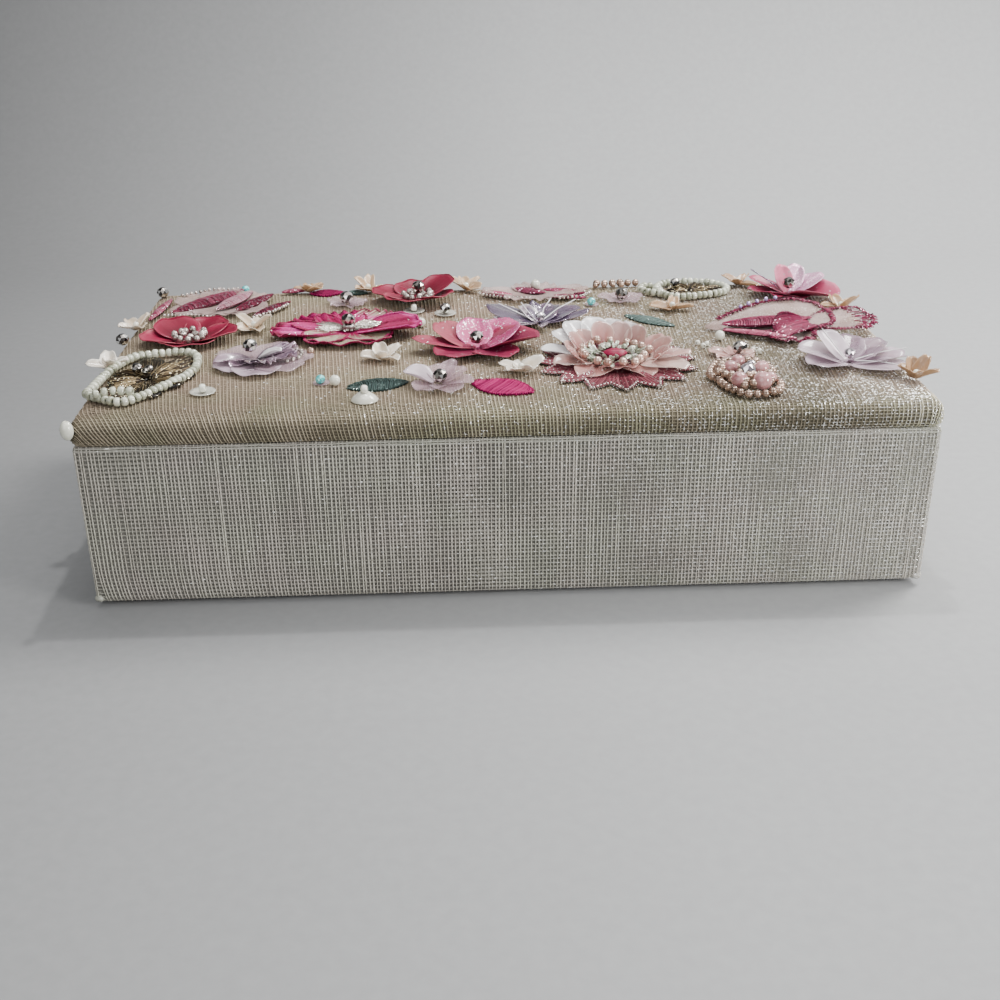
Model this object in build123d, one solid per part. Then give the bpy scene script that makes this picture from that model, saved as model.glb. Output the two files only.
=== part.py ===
# Hinged keepsake box covered in open mesh cloth, with bead and sequin flowers on its lid.
# Frame: +X along the length, +Y towards the hinged back, +Z up, origin under the middle of the base.
import os
from math import atan2, cos, degrees, hypot, pi, radians, sin

from build123d import *

# Outside of the box, in millimetres
box_length = 210.0
box_depth = 108.0
wall_height = 42.5
lid_height = 6.5
lid_overhang = 0.8
lid_corner_share = 0.65
lid_top_round_share = 0.52
lid_bottom_round_share = 0.18

# Boards and cards
wall_board_thickness = 3.0
base_board_thickness = 2.5
lid_board_thickness = 2.5
lid_board_clearance = 0.2
card_thickness = 1.0
panel_card_thickness = 0.8
panel_inset = 2.0

# Cover cloth
cloth_thickness = 0.6
cloth_turn_in = 14.0
corner_tuck_radius = 1.3
corner_tuck_height = 1.8
corner_tuck_poke = 0.7

# Lining
lining_thickness = 1.2
lining_drop = 1.5
cushion_thickness = 4.0
cushion_clearance = 0.3
cushion_round_share = 0.45
lid_pad_thickness = 1.5
lid_pad_clearance = 0.8
lid_pad_round_share = 0.5

# Cloth hinge
hinge_end_margin = 7.0
hinge_leaf_width = 18.0
hinge_fold_bulge = 0.3

# Magnetic catch
magnet_length = 12.0
magnet_height = 4.0
magnet_thickness = 2.0
magnet_clearance = 0.2
keeper_length = 14.0
keeper_width = 4.0
keeper_thickness = 0.8
keeper_edge = 0.5
catch_place_share = 0.45

# Beads
seed_bead_diameter = 2.1
seed_bead_length = 1.5
seed_bead_pitch = 1.95
seed_bead_round_share = 0.38
ring_bead_diameter = 2.0
pearl_diameter = 2.6
small_pearl_diameter = 1.9
rose_bead_diameter = 4.0
faceted_bead_diameter = 3.8
faceted_bead_height_share = 0.8
faceted_bead_chamfer_share = 0.25
faceted_bead_sides = 8
crystal_diameter = 3.4
bead_gap = 0.05

# Petals
sequin_thickness = 0.3
silk_thickness = 0.9
organza_thickness = 0.6
leaf_thickness = 0.5
petal_root_radius = 1.3
petal_root_share = 0.5
petal_shoulder_share = 0.58
petal_bulge_share = 0.05
petal_width_share = 0.8

# Reach of each flower from its centre, and how deep its bowl is or how far its petals tilt
seed_loop_reach_x = 11.6
seed_loop_reach_y = 15.2
seed_loop_lobe_share = 0.08
thread_petal_reach_share = 0.72
back_loop_reach_x = 12.2
back_loop_reach_y = 8.4
red_flower_reach = 11.8
red_flower_bowl = 24.0
red_flower_ring_radius = 3.2
silk_flower_reach = 18.8
silk_flower_bowl = 55.0
coral_flower_reach = 14.6
coral_flower_bowl = 28.0
crystal_flower_reach = 13.8
crystal_petal_tilt = 14.0
lilac_flower_reach = 13.2
lilac_top_reach = 8.0
lilac_top_tilt = 25.0
right_lilac_reach = 14.2
right_lilac_bowl = 30.0
pink_flower_reach = 11.6
pink_flower_bowl = 17.0
small_lilac_reach = 7.0
small_lilac_back_reach = 5.3
small_lilac_tilt = 8.0
organza_left_reach_x = 17.0
organza_left_reach_y = 15.0
organza_back_reach_x = 17.4
organza_back_reach_y = 10.8
organza_right_reach_x = 19.4
organza_right_reach_y = 16.2
shell_flower_reach = 4.0
shell_flower_tilt = 38.0
bead_base_reach = 4.5

# Sunburst flower, from its centre outwards
sunburst_reach = 20.0
sunburst_notch_share = 0.8
sunburst_points = 18
sunburst_thickness = 0.5
sunburst_petal_root = 8.6
sunburst_petal_tip = 17.4
sunburst_petal_width = 4.9
sunburst_petal_tilt = 24.0
sunburst_petal_count = 12
sunburst_pearl_ring = 7.0
sunburst_mint_ring = 4.6
sunburst_centre_radius = 2.9
white_sequin_radius = 4.6
white_sequin_ring = 17.2
white_sequin_tilt = 52.0

# Pearl cluster
cluster_outline_radius = 8.6
cluster_lobe_share = 0.12
cluster_bead_ring = 5.1

# Cup sequins
cup_radius = 3.4
cup_bowl = 6.0

# Places on the lid, as shares of its half length and half depth
front_loop_shares = (-0.863, -0.511)
back_loop_shares = (0.552, 0.785)
red_left_shares = (-0.822, 0.155)
red_back_shares = (-0.212, 0.768)
organza_left_shares = (-0.785, 0.666)
organza_back_shares = (0.113, 0.785)
organza_right_shares = (0.758, 0.146)
lilac_left_shares = (-0.605, -0.265)
lilac_right_shares = (0.841, -0.401)
silk_shares = (-0.405, 0.164)
coral_shares = (-0.073, -0.109)
crystal_shares = (0.109, 0.310)
sunburst_shares = (0.274, -0.347)
small_lilac_shares = (-0.163, -0.620)
small_lilac_back_shares = (0.358, 0.657)
cluster_shares = (0.567, -0.657)
pink_back_shares = (0.832, 0.726)
shell_flower_shares = [
    (-0.302, -0.245),
    (0.009, -0.472),
    (-0.664, 0.268),
    (-0.955, 0.300),
    (-0.955, -0.185),
    (-0.582, 0.912),
    (-0.352, 0.925),
    (-0.086, 0.925),
    (0.487, 0.462),
    (0.724, 0.918),
    (0.955, 0.405),
    (0.952, -0.726),
]
bead_base_shares = [(0.573, -0.330), (-0.427, 0.673)]
teal_leaf_shares = [
    ((-0.378, -0.645), (-0.246, -0.585)),
    ((0.352, 0.372), (0.462, 0.180)),
    ((-0.455, 0.858), (-0.402, 0.852)),
]
pink_leaf_shares = [
    ((-0.086, -0.600), (0.056, -0.762)),
    ((-0.552, 0.868), (-0.470, 0.860)),
]
leaf_width_share = 0.3
pearl_row_shares = ((0.296, 0.953), (0.404, 0.958))
pearl_row_count = 7
loose_pearl_shares = [(-0.214, 0.256), (0.566, -0.066), (-0.412, -0.602)]
cup_shares = [(-0.336, -0.800), (-0.719, -0.668), (-0.236, 0.524), (-0.148, 0.462)]
aqua_shares = [(-0.446, -0.573), (-0.735, 0.962), (0.268, 0.585)]
edge_bead_shares = [(-0.962, 0.912), (-0.976, 0.086)]

# Sizes that follow from those above
lid_length = box_length + 2 * lid_overhang
lid_depth = box_depth + 2 * lid_overhang
board_length = box_length - 2 * cloth_thickness
board_depth = box_depth - 2 * cloth_thickness
hollow_length = board_length - 2 * wall_board_thickness
hollow_depth = board_depth - 2 * wall_board_thickness
flap_length = hollow_length - 2 * cloth_thickness
flap_depth = hollow_depth - 2 * cloth_thickness
room_length = flap_length - 2 * lining_thickness
room_depth = flap_depth - 2 * lining_thickness
panel_top = cloth_thickness + panel_card_thickness
wall_top = panel_top + wall_height
lid_top = wall_top + lid_height
board_bottom = panel_top + cloth_thickness
board_top = wall_top - cloth_thickness
floor_top = board_bottom + base_board_thickness
lining_top = wall_top - lining_drop
hinge_length = box_length - 2 * hinge_end_margin
lid_flat_edge = lid_depth / 2 - lid_bottom_round_share * lid_height
catch_places = [side * catch_place_share * box_length / 2 for side in (-1, 1)]


# Plain forms

def slab(length, depth, low, high, x=0, y=0):
    """An upright block between two heights."""
    return Pos(x, y, (low + high) / 2) * Box(length, depth, high - low)


def frame(length, depth, hole_length, hole_depth, low, high):
    """A rectangular ring between two heights."""
    return slab(length, depth, low, high) - slab(hole_length, hole_depth, low, high)


def padded_slab(length, depth, low, high):
    """The lid's form: round corners, a deep round at its top edge and a small one below."""
    height = high - low
    body = slab(length, depth, low, high)
    body = fillet(body.edges().filter_by(Axis.Z), height * lid_corner_share)
    top = body.faces().sort_by(Axis.Z)[-1].edges()
    body = fillet(top, height * lid_top_round_share)
    bottom = body.faces().sort_by(Axis.Z)[0].edges()
    return fillet(bottom, height * lid_bottom_round_share)


def group(pieces):
    """Separate solids that share one node."""
    return Compound(children=list(pieces))


# Walls and base

def wall_boards():
    side_length = board_depth - 2 * wall_board_thickness
    side_x = (board_length - wall_board_thickness) / 2
    long_y = (board_depth - wall_board_thickness) / 2
    long_board = slab(board_length, wall_board_thickness, board_bottom, board_top)
    side_board = slab(wall_board_thickness, side_length, board_bottom, board_top)
    front = Pos(0, -long_y, 0) * long_board
    notch_length = magnet_length + 2 * magnet_clearance
    for x in catch_places:
        front -= slab(notch_length, wall_board_thickness, board_top - magnet_height, board_top, x, -long_y)
    return {
        "wall_board_front": front,
        "wall_board_back": Pos(0, long_y, 0) * long_board,
        "wall_board_left": Pos(-side_x, 0, 0) * side_board,
        "wall_board_right": Pos(side_x, 0, 0) * side_board,
    }


def base_board():
    return slab(hollow_length, hollow_depth, board_bottom, floor_top)


def hinge_strip_room(low, high, front_y):
    """The stretch of the back wall's cloth that the hinge strip takes."""
    back_y = box_depth / 2
    return slab(hinge_length, back_y - front_y, low, high, y=(front_y + back_y) / 2)


def wall_cover_cloth():
    """Cloth round the walls, turned under the base and over the top edge into the box."""
    flap_low = wall_top - cloth_turn_in
    cloth = frame(box_length, box_depth, board_length, board_depth, panel_top, wall_top)
    under_length = board_length - 2 * cloth_turn_in
    under_depth = board_depth - 2 * cloth_turn_in
    cloth += frame(board_length, board_depth, under_length, under_depth, panel_top, board_bottom)
    cloth += frame(board_length, board_depth, flap_length, flap_depth, board_top, wall_top)
    cloth += frame(hollow_length, hollow_depth, flap_length, flap_depth, flap_low, wall_top)
    cloth -= hinge_strip_room(board_top, wall_top, flap_depth / 2)
    inner_flap = slab(hinge_length, cloth_thickness, flap_low, wall_top, y=(flap_depth + cloth_thickness) / 2)
    return cloth - inner_flap + corner_tucks()


def corner_tucks():
    """The folded cloth that pokes out a little at the four lower corners, outside the boards."""
    tuck = Pos(0, 0, panel_top + corner_tuck_height / 2) * Cylinder(corner_tuck_radius, corner_tuck_height)
    reach = corner_tuck_poke - corner_tuck_radius
    x, y = box_length / 2 + reach, box_depth / 2 + reach
    tucks = [Pos(side_x * x, side_y * y, 0) * tuck for side_x in (-1, 1) for side_y in (-1, 1)]
    boards = slab(board_length, board_depth, panel_top, board_top)
    return [piece - boards for piece in tucks]


def bottom_panel_card():
    inset = 2 * (panel_inset + cloth_thickness)
    return slab(box_length - inset, box_depth - inset, cloth_thickness, panel_top)


def bottom_panel_cloth():
    """The bottom panel's cloth, drawn round its card a little inside the walls."""
    cloth = slab(box_length - 2 * panel_inset, box_depth - 2 * panel_inset, 0, panel_top)
    return cloth - bottom_panel_card()


def catch_magnets():
    y = -(board_depth - wall_board_thickness) / 2
    return group(
        slab(magnet_length, magnet_thickness, board_top - magnet_height, board_top, x, y)
        for x in catch_places
    )


# Lining

def lining_panels():
    side_length = flap_depth - 2 * lining_thickness
    side_x = (flap_length - lining_thickness) / 2
    long_y = (flap_depth - lining_thickness) / 2
    long_panel = slab(flap_length, lining_thickness, floor_top, lining_top)
    side_panel = slab(lining_thickness, side_length, floor_top, lining_top)
    return {
        "lining_panel_front": Pos(0, -long_y, 0) * long_panel,
        "lining_panel_back": Pos(0, long_y, 0) * long_panel,
        "lining_panel_left": Pos(-side_x, 0, 0) * side_panel,
        "lining_panel_right": Pos(side_x, 0, 0) * side_panel,
    }


def floor_lining_card():
    return slab(room_length, room_depth, floor_top, floor_top + card_thickness)


def floor_cushion():
    low = floor_top + card_thickness
    length = room_length - 2 * cushion_clearance
    depth = room_depth - 2 * cushion_clearance
    body = slab(length, depth, low, low + cushion_thickness)
    return fillet(body.faces().sort_by(Axis.Z)[-1].edges(), cushion_thickness * cushion_round_share)


# Lid

def lid_inside():
    """The room inside the lid's cloth."""
    shrink = 2 * cloth_thickness
    low = wall_top + cloth_thickness
    return padded_slab(lid_length - shrink, lid_depth - shrink, low, lid_top - cloth_thickness)


def lid_board_size():
    """Length and depth of the lid's board, which stays clear of the small round at its lower edge."""
    inside_height = lid_height - 2 * cloth_thickness
    inset = cloth_thickness + inside_height * lid_bottom_round_share + lid_board_clearance
    return lid_length - 2 * inset, lid_depth - 2 * inset


def keeper_block(x):
    board_front = -lid_board_size()[1] / 2
    y = board_front + keeper_edge + keeper_width / 2
    low = wall_top + cloth_thickness
    return slab(keeper_length, keeper_width, low, low + keeper_thickness, x, y)


def lid_keepers():
    return group(keeper_block(x) for x in catch_places)


def lid_board_blank():
    length, depth = lid_board_size()
    low = wall_top + cloth_thickness
    board = slab(length, depth, low, low + lid_board_thickness)
    return fillet(board.edges().filter_by(Axis.Z), lid_height * lid_corner_share / 2)


def lid_board():
    board = lid_board_blank()
    for x in catch_places:
        board -= keeper_block(x)
    return board


def lid_wadding():
    return lid_inside() - lid_board_blank()


def lid_hinge_leaf():
    front_y = lid_flat_edge - hinge_leaf_width
    depth = lid_flat_edge - front_y
    return slab(hinge_length, depth, wall_top, wall_top + cloth_thickness, y=(front_y + lid_flat_edge) / 2)


def lid_cover_cloth():
    """Cloth drawn over the padded lid and turned in underneath."""
    cloth = padded_slab(lid_length, lid_depth, wall_top, lid_top) - lid_inside()
    window_length = lid_length - 2 * cloth_turn_in
    window_depth = lid_depth - 2 * cloth_turn_in
    cloth -= slab(window_length, window_depth, wall_top, wall_top + cloth_thickness)
    return cloth - lid_hinge_leaf()


def lid_lining_size():
    return room_length - 2 * lid_pad_clearance, room_depth - 2 * lid_pad_clearance


def lid_lining_card():
    length, depth = lid_lining_size()
    return slab(length, depth, wall_top - card_thickness, wall_top)


def lid_lining_pad():
    length, depth = lid_lining_size()
    top = wall_top - card_thickness
    body = slab(length, depth, top - lid_pad_thickness, top)
    return fillet(body.faces().sort_by(Axis.Z)[0].edges(), lid_pad_thickness * lid_pad_round_share)


def wall_hinge_leaf():
    """The hinge strip's lower leaf: over the back wall's top edge and down its inner face."""
    over = hinge_strip_room(board_top, wall_top, flap_depth / 2)
    low = wall_top - cloth_turn_in
    down = slab(hinge_length, cloth_thickness, low, board_top, y=(flap_depth + cloth_thickness) / 2)
    return over + down


# Petals and beads, made about the origin and then set on the lid

def on_lid(shares, lift=0):
    x_share, y_share = shares
    return Pos(x_share * lid_length / 2, y_share * lid_depth / 2, lid_top + lift)


def petal_face(inner, outer, width):
    """A petal along +X: narrow at its root, widest at its shoulder, round at its tip."""
    shoulder = inner + (outer - inner) * petal_shoulder_share
    root = inner * petal_root_share
    half = width / 2
    middle_x = (inner + shoulder) / 2
    middle_y = (root + half) / 2 + width * petal_bulge_share
    return make_face(
        [
            ThreePointArc((inner, -root), (middle_x, -middle_y), (shoulder, -half)),
            ThreePointArc((shoulder, -half), (outer, 0), (shoulder, half)),
            ThreePointArc((shoulder, half), (middle_x, middle_y), (inner, root)),
            Line((inner, root), (inner, -root)),
        ]
    )


def round_about(piece, count, start=0):
    """Copies of a piece at even turns about +Z."""
    return [Rot(0, 0, start + 360 * i / count) * piece for i in range(count)]


def petal_width(reach, count):
    """The widest petal that leaves its neighbours free, on a flower of that many petals."""
    shoulder = petal_root_radius + (reach - petal_root_radius) * petal_shoulder_share
    return 2 * shoulder * sin(pi / count) * petal_width_share


def bowl_petals(count, reach, bowl, thickness, start=0):
    """Petals cut from one shallow bowl, as pressed sequins and raised embroidery are."""
    blank = extrude(petal_face(petal_root_radius, reach, petal_width(reach, count)), amount=bowl)
    centre = Pos(0, 0, bowl)
    petal = (blank & centre * Sphere(bowl)) - centre * Sphere(bowl - thickness)
    return round_about(petal, count, start)


def bowl_rise(radius, bowl):
    """Height of a bowl's outside at a radius."""
    return bowl - (bowl**2 - radius**2) ** 0.5


def tilted_petals(count, reach, tilt, thickness, start=0):
    """Flat petals that rise outwards from their roots."""
    blade = extrude(petal_face(petal_root_radius, reach, petal_width(reach, count)), amount=thickness)
    hinge = Pos(petal_root_radius, 0, 0)
    return round_about(hinge * Rot(0, -tilt, 0) * hinge.inverse() * blade, count, start)


def flat_petals(count, reach_x, reach_y, thickness, start=0):
    """Petals that lie on the cloth, longer along one way than the other."""
    width = petal_width(min(reach_x, reach_y), count)
    petals = []
    for i in range(count):
        turn = start + 360 * i / count
        reach = 1 / hypot(cos(radians(turn)) / reach_x, sin(radians(turn)) / reach_y)
        petals.append(Rot(0, 0, turn) * extrude(petal_face(petal_root_radius, reach, width), amount=thickness))
    return petals


def bead(diameter, lift=0):
    """A round bead standing a hair above what is under it."""
    return Pos(0, 0, diameter / 2 + bead_gap + lift) * Sphere(diameter / 2)


def bead_ring(diameter, radius, count, lift=0):
    return round_about(Pos(radius, 0, 0) * bead(diameter, lift), count)


def faceted_bead(diameter, lift=0):
    height = diameter * faceted_bead_height_share
    prism = extrude(RegularPolygon(diameter / 2, faceted_bead_sides), amount=height)
    ends = prism.faces().filter_by(Axis.Z).edges()
    cut = chamfer(ends, diameter * faceted_bead_chamfer_share)
    return Pos(0, 0, bead_gap + lift) * cut


def seed_bead():
    """A short glass bead with rounded ends, its hole along +X, standing a hair above the cloth."""
    blank = Cylinder(seed_bead_diameter / 2, seed_bead_length)
    ends = blank.edges().filter_by(GeomType.CIRCLE)
    rounded = fillet(ends, seed_bead_length * seed_bead_round_share)
    return Pos(0, 0, seed_bead_diameter / 2 + bead_gap) * Rot(0, 90, 0) * rounded


def lobed_curve(reach_x, reach_y, lobes, lobe_share):
    """A closed curve with rounded lobes, as a function of the share of a turn."""

    def point(share):
        angle = 2 * pi * share
        swell = (1 + lobe_share * cos(lobes * angle)) / (1 + lobe_share)
        return reach_x * swell * cos(angle), reach_y * swell * sin(angle)

    return point


def strung_along(curve, piece, pitch):
    """Copies of a piece at even steps along a closed curve, each turned along it."""
    fine = 720
    marks = [curve(i / fine) for i in range(fine + 1)]
    steps = [hypot(b[0] - a[0], b[1] - a[1]) for a, b in zip(marks, marks[1:])]
    count = int(sum(steps) / pitch)
    spacing = sum(steps) / count
    pieces, walked = [], 0
    for mark, after, step in zip(marks, marks[1:], steps):
        if walked + step > len(pieces) * spacing and len(pieces) < count:
            heading = degrees(atan2(after[1] - mark[1], after[0] - mark[0]))
            pieces.append(Pos(mark[0], mark[1], 0) * Rot(0, 0, heading) * piece)
        walked += step
    return pieces


def leaf(start_shares, end_shares):
    """A pointed satin-stitch leaf between two places on the lid."""
    start = on_lid(start_shares).position
    end = on_lid(end_shares).position
    length = (end - start).length
    half_width = length * leaf_width_share / 2
    face = make_face(
        [
            ThreePointArc((0, 0), (length / 2, -half_width), (length, 0)),
            ThreePointArc((length, 0), (length / 2, half_width), (0, 0)),
        ]
    )
    heading = degrees(atan2(end.Y - start.Y, end.X - start.X))
    return Pos(*start) * Rot(0, 0, heading) * extrude(face, amount=leaf_thickness)


def cup_sequin():
    disc = Pos(0, 0, cup_bowl / 2) * Cylinder(cup_radius, cup_bowl)
    centre = Pos(0, 0, cup_bowl)
    return (disc & centre * Sphere(cup_bowl)) - centre * Sphere(cup_bowl - sequin_thickness)


# Flowers, each a group set on the lid

def set_on_lid(shares, pieces, lift=0):
    place = on_lid(shares, lift)
    return [place * piece for piece in pieces]


def seed_loops():
    front_loop = lobed_curve(seed_loop_reach_x, seed_loop_reach_y, 4, seed_loop_lobe_share)
    back_loop = lobed_curve(back_loop_reach_x, back_loop_reach_y, 4, seed_loop_lobe_share)
    front_x = seed_loop_reach_x * thread_petal_reach_share
    front_y = seed_loop_reach_y * thread_petal_reach_share
    back_x = back_loop_reach_x * thread_petal_reach_share
    back_y = back_loop_reach_y * thread_petal_reach_share
    return {
        "seed_loop_front": set_on_lid(front_loop_shares, strung_along(front_loop, seed_bead(), seed_bead_pitch)),
        "seed_loop_back": set_on_lid(back_loop_shares, strung_along(back_loop, seed_bead(), seed_bead_pitch)),
        "thread_petals_front": set_on_lid(front_loop_shares, flat_petals(6, front_x, front_y, organza_thickness)),
        "thread_petals_back": set_on_lid(back_loop_shares, flat_petals(6, back_x, back_y, organza_thickness)),
    }


def red_flowers():
    petals = bowl_petals(5, red_flower_reach, red_flower_bowl, sequin_thickness, start=54)
    outer = red_flower_ring_radius + ring_bead_diameter / 2
    beads_lift = bowl_rise(outer, red_flower_bowl) + sequin_thickness
    beads = bead_ring(ring_bead_diameter, red_flower_ring_radius, 8, beads_lift)
    return {
        "red_flower_left_petals": set_on_lid(red_left_shares, petals),
        "red_flower_left_beads": set_on_lid(red_left_shares, beads),
        "red_flower_back_petals": set_on_lid(red_back_shares, petals),
        "red_flower_back_beads": set_on_lid(red_back_shares, beads),
    }


def organza_flowers():
    left = flat_petals(5, organza_left_reach_x, organza_left_reach_y, organza_thickness, start=20)
    back = flat_petals(6, organza_back_reach_x, organza_back_reach_y, organza_thickness)
    right = flat_petals(5, organza_right_reach_x, organza_right_reach_y, organza_thickness, start=35)
    return {
        "organza_flower_left": set_on_lid(organza_left_shares, left),
        "organza_flower_back": set_on_lid(organza_back_shares, back),
        "organza_flower_right": set_on_lid(organza_right_shares, right),
    }


def lilac_flowers():
    flat = flat_petals(5, lilac_flower_reach, lilac_flower_reach, sequin_thickness, start=18)
    top = tilted_petals(5, lilac_top_reach, lilac_top_tilt, sequin_thickness, start=54)
    right = bowl_petals(5, right_lilac_reach, right_lilac_bowl, sequin_thickness, start=18)
    front_small = tilted_petals(4, small_lilac_reach, small_lilac_tilt, sequin_thickness, start=20)
    back_small = tilted_petals(4, small_lilac_back_reach, small_lilac_tilt, sequin_thickness, start=45)
    return {
        "lilac_flower_left": set_on_lid(lilac_left_shares, flat),
        "lilac_flower_left_top": set_on_lid(lilac_left_shares, top, sequin_thickness + bead_gap),
        "lilac_flower_right": set_on_lid(lilac_right_shares, right),
        "small_lilac_flowers": set_on_lid(small_lilac_shares, front_small)
        + set_on_lid(small_lilac_back_shares, back_small),
    }


def raised_flowers():
    silk = bowl_petals(5, silk_flower_reach, silk_flower_bowl, silk_thickness, start=18)
    coral = bowl_petals(6, coral_flower_reach, coral_flower_bowl, sequin_thickness, start=10)
    crystal = tilted_petals(5, crystal_flower_reach, crystal_petal_tilt, sequin_thickness, start=90)
    pink = bowl_petals(5, pink_flower_reach, pink_flower_bowl, sequin_thickness, start=0)
    return {
        "silk_thread_flower": set_on_lid(silk_shares, silk),
        "coral_flower": set_on_lid(coral_shares, coral),
        "crystal_flower": set_on_lid(crystal_shares, crystal),
        "pink_flower_back": set_on_lid(pink_back_shares, pink),
    }


def sunburst_base():
    """A flat zigzag-edged disc of dense embroidery."""
    corners = []
    for i in range(2 * sunburst_points):
        reach = sunburst_reach * (1 if i % 2 == 0 else sunburst_notch_share)
        angle = pi * i / sunburst_points
        corners.append((reach * cos(angle), reach * sin(angle)))
    return extrude(make_face(Polyline(*corners, close=True)), amount=sunburst_thickness)


def sunburst_flower():
    length = sunburst_petal_tip - sunburst_petal_root
    blade = extrude(petal_face(petal_root_radius, petal_root_radius + length, sunburst_petal_width),
                    amount=sequin_thickness)
    laid = Pos(sunburst_petal_root, 0, 0) * Rot(0, -sunburst_petal_tilt, 0)
    petal = laid * Pos(-petal_root_radius, 0, 0) * blade
    pearls = bead_ring(small_pearl_diameter, sunburst_pearl_ring, 16)
    mint = bead_ring(small_pearl_diameter, sunburst_mint_ring, 12)
    centre = [Pos(0, 0, sequin_thickness) * Cylinder(sunburst_centre_radius, 2 * sequin_thickness)]
    disc = extrude(Circle(white_sequin_radius), amount=sequin_thickness)
    tilted_disc = Rot(0, -white_sequin_tilt, 0) * Pos(white_sequin_radius, 0, 0) * disc
    sequins = [Rot(0, 0, turn) * Pos(white_sequin_ring, 0, 0) * tilted_disc for turn in (105, 135, 165)]
    top = sunburst_thickness
    return {
        "sunburst_base": set_on_lid(sunburst_shares, [sunburst_base()]),
        "sunburst_petals": set_on_lid(sunburst_shares, round_about(petal, sunburst_petal_count), top),
        "sunburst_pearls": set_on_lid(sunburst_shares, pearls, top),
        "sunburst_mint_beads": set_on_lid(sunburst_shares, mint, top),
        "sunburst_centre": set_on_lid(sunburst_shares, centre, top),
        "sunburst_white_sequins": set_on_lid(sunburst_shares, sequins, top),
    }


def pearl_cluster():
    outline = lobed_curve(cluster_outline_radius, cluster_outline_radius, 5, cluster_lobe_share)
    pearls = strung_along(outline, bead(small_pearl_diameter), small_pearl_diameter + bead_gap)
    roses = bead_ring(rose_bead_diameter, cluster_bead_ring, 5)
    return {
        "cluster_pearls": set_on_lid(cluster_shares, pearls),
        "cluster_rose_beads": set_on_lid(cluster_shares, roses),
    }


def small_pieces():
    shell = tilted_petals(5, shell_flower_reach, shell_flower_tilt, sequin_thickness, start=18)
    base = tilted_petals(4, bead_base_reach, small_lilac_tilt, sequin_thickness, start=45)
    row_start, row_end = pearl_row_shares
    row = [
        tuple(a + (b - a) * i / (pearl_row_count - 1) for a, b in zip(row_start, row_end))
        for i in range(pearl_row_count)
    ]
    cup_pearl_lift = sequin_thickness
    pearls = [on_lid(place) * bead(pearl_diameter) for place in loose_pearl_shares]
    pearls += [on_lid(place, cup_pearl_lift) * bead(small_pearl_diameter) for place in cup_shares[:3]]
    return {
        "shell_flowers": [piece for place in shell_flower_shares for piece in set_on_lid(place, shell)],
        "bead_base_flowers": [piece for place in bead_base_shares for piece in set_on_lid(place, base)],
        "teal_leaves": [leaf(*ends) for ends in teal_leaf_shares],
        "pink_leaves": [leaf(*ends) for ends in pink_leaf_shares],
        "pearl_row": [on_lid(place) * bead(small_pearl_diameter) for place in row],
        "loose_pearls": pearls,
        "cup_sequins": [on_lid(place) * cup_sequin() for place in cup_shares],
        "aqua_crystals": [on_lid(place) * faceted_bead(crystal_diameter) for place in aqua_shares],
    }


def corner_pearl():
    """The pearl sewn at the lid's front left corner, against the side of its padded edge."""
    corner = lid_height * lid_corner_share
    reach = (corner + pearl_diameter / 2 + bead_gap) * cos(pi / 4)
    x = -lid_length / 2 + corner - reach
    y = -lid_depth / 2 + corner - reach
    z = wall_top + lid_height * (1 - lid_top_round_share)
    return [Pos(x, y, z) * Sphere(pearl_diameter / 2)]


def faceted_beads():
    """Silver faceted beads at the flowers' centres and along the left edge."""
    on_bowl = sequin_thickness + bead_gap
    on_silk = silk_thickness + bead_gap
    on_two = 2 * on_bowl
    seats = [
        (lilac_left_shares, on_two),
        (silk_shares, on_silk),
        (coral_shares, on_bowl),
        (small_lilac_shares, on_bowl),
        (small_lilac_back_shares, on_bowl),
        (pink_back_shares, on_bowl),
        (crystal_shares, on_bowl),
        (lilac_right_shares, on_bowl),
        (bead_base_shares[0], on_bowl),
        (bead_base_shares[1], on_bowl),
        (cup_shares[3], on_bowl),
        (front_loop_shares, organza_thickness),
        (back_loop_shares, organza_thickness),
        (cluster_shares, 0),
        (edge_bead_shares[0], 0),
        (edge_bead_shares[1], 0),
    ]
    small = faceted_bead(faceted_bead_diameter)
    return [on_lid(place, lift) * small for place, lift in seats]


def ornament():
    nodes = {}
    for makers in (seed_loops, red_flowers, organza_flowers, lilac_flowers, raised_flowers):
        nodes.update(makers())
    for makers in (sunburst_flower, pearl_cluster, small_pieces):
        nodes.update(makers())
    nodes["corner_pearl"] = corner_pearl()
    nodes["faceted_beads"] = faceted_beads()
    return {name: group(pieces) for name, pieces in nodes.items()}


def all_nodes():
    nodes = {
        "base_board": base_board(),
        "wall_cover_cloth": wall_cover_cloth(),
        "bottom_panel_card": bottom_panel_card(),
        "bottom_panel_cloth": bottom_panel_cloth(),
        "catch_magnets": catch_magnets(),
        "floor_lining_card": floor_lining_card(),
        "floor_cushion": floor_cushion(),
        "hinge_cloth_wall_leaf": wall_hinge_leaf(),
        "hinge_cloth_lid_leaf": lid_hinge_leaf(),
        "lid_board": lid_board(),
        "lid_wadding": lid_wadding(),
        "lid_cover_cloth": lid_cover_cloth(),
        "lid_keepers": lid_keepers(),
        "lid_lining_card": lid_lining_card(),
        "lid_lining_pad": lid_lining_pad(),
    }
    nodes.update(wall_boards())
    nodes.update(lining_panels())
    nodes.update(ornament())
    return nodes


os.makedirs("parts", exist_ok=True)
for node_name, shape in all_nodes().items():
    export_step(shape, f"parts/{node_name}.step")
hinge_y = box_depth / 2 + hinge_fold_bulge
print("lid hinge at y", hinge_y, "z", wall_top)
print("room inside", room_length, room_depth, "from z", floor_top + card_thickness + cushion_thickness,
      "to", wall_top - card_thickness - lid_pad_thickness)
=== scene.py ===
from math import atan2, cos, degrees, hypot, pi, radians, sin

import bpy
import numpy as np
from mathutils import Matrix, Vector


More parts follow.
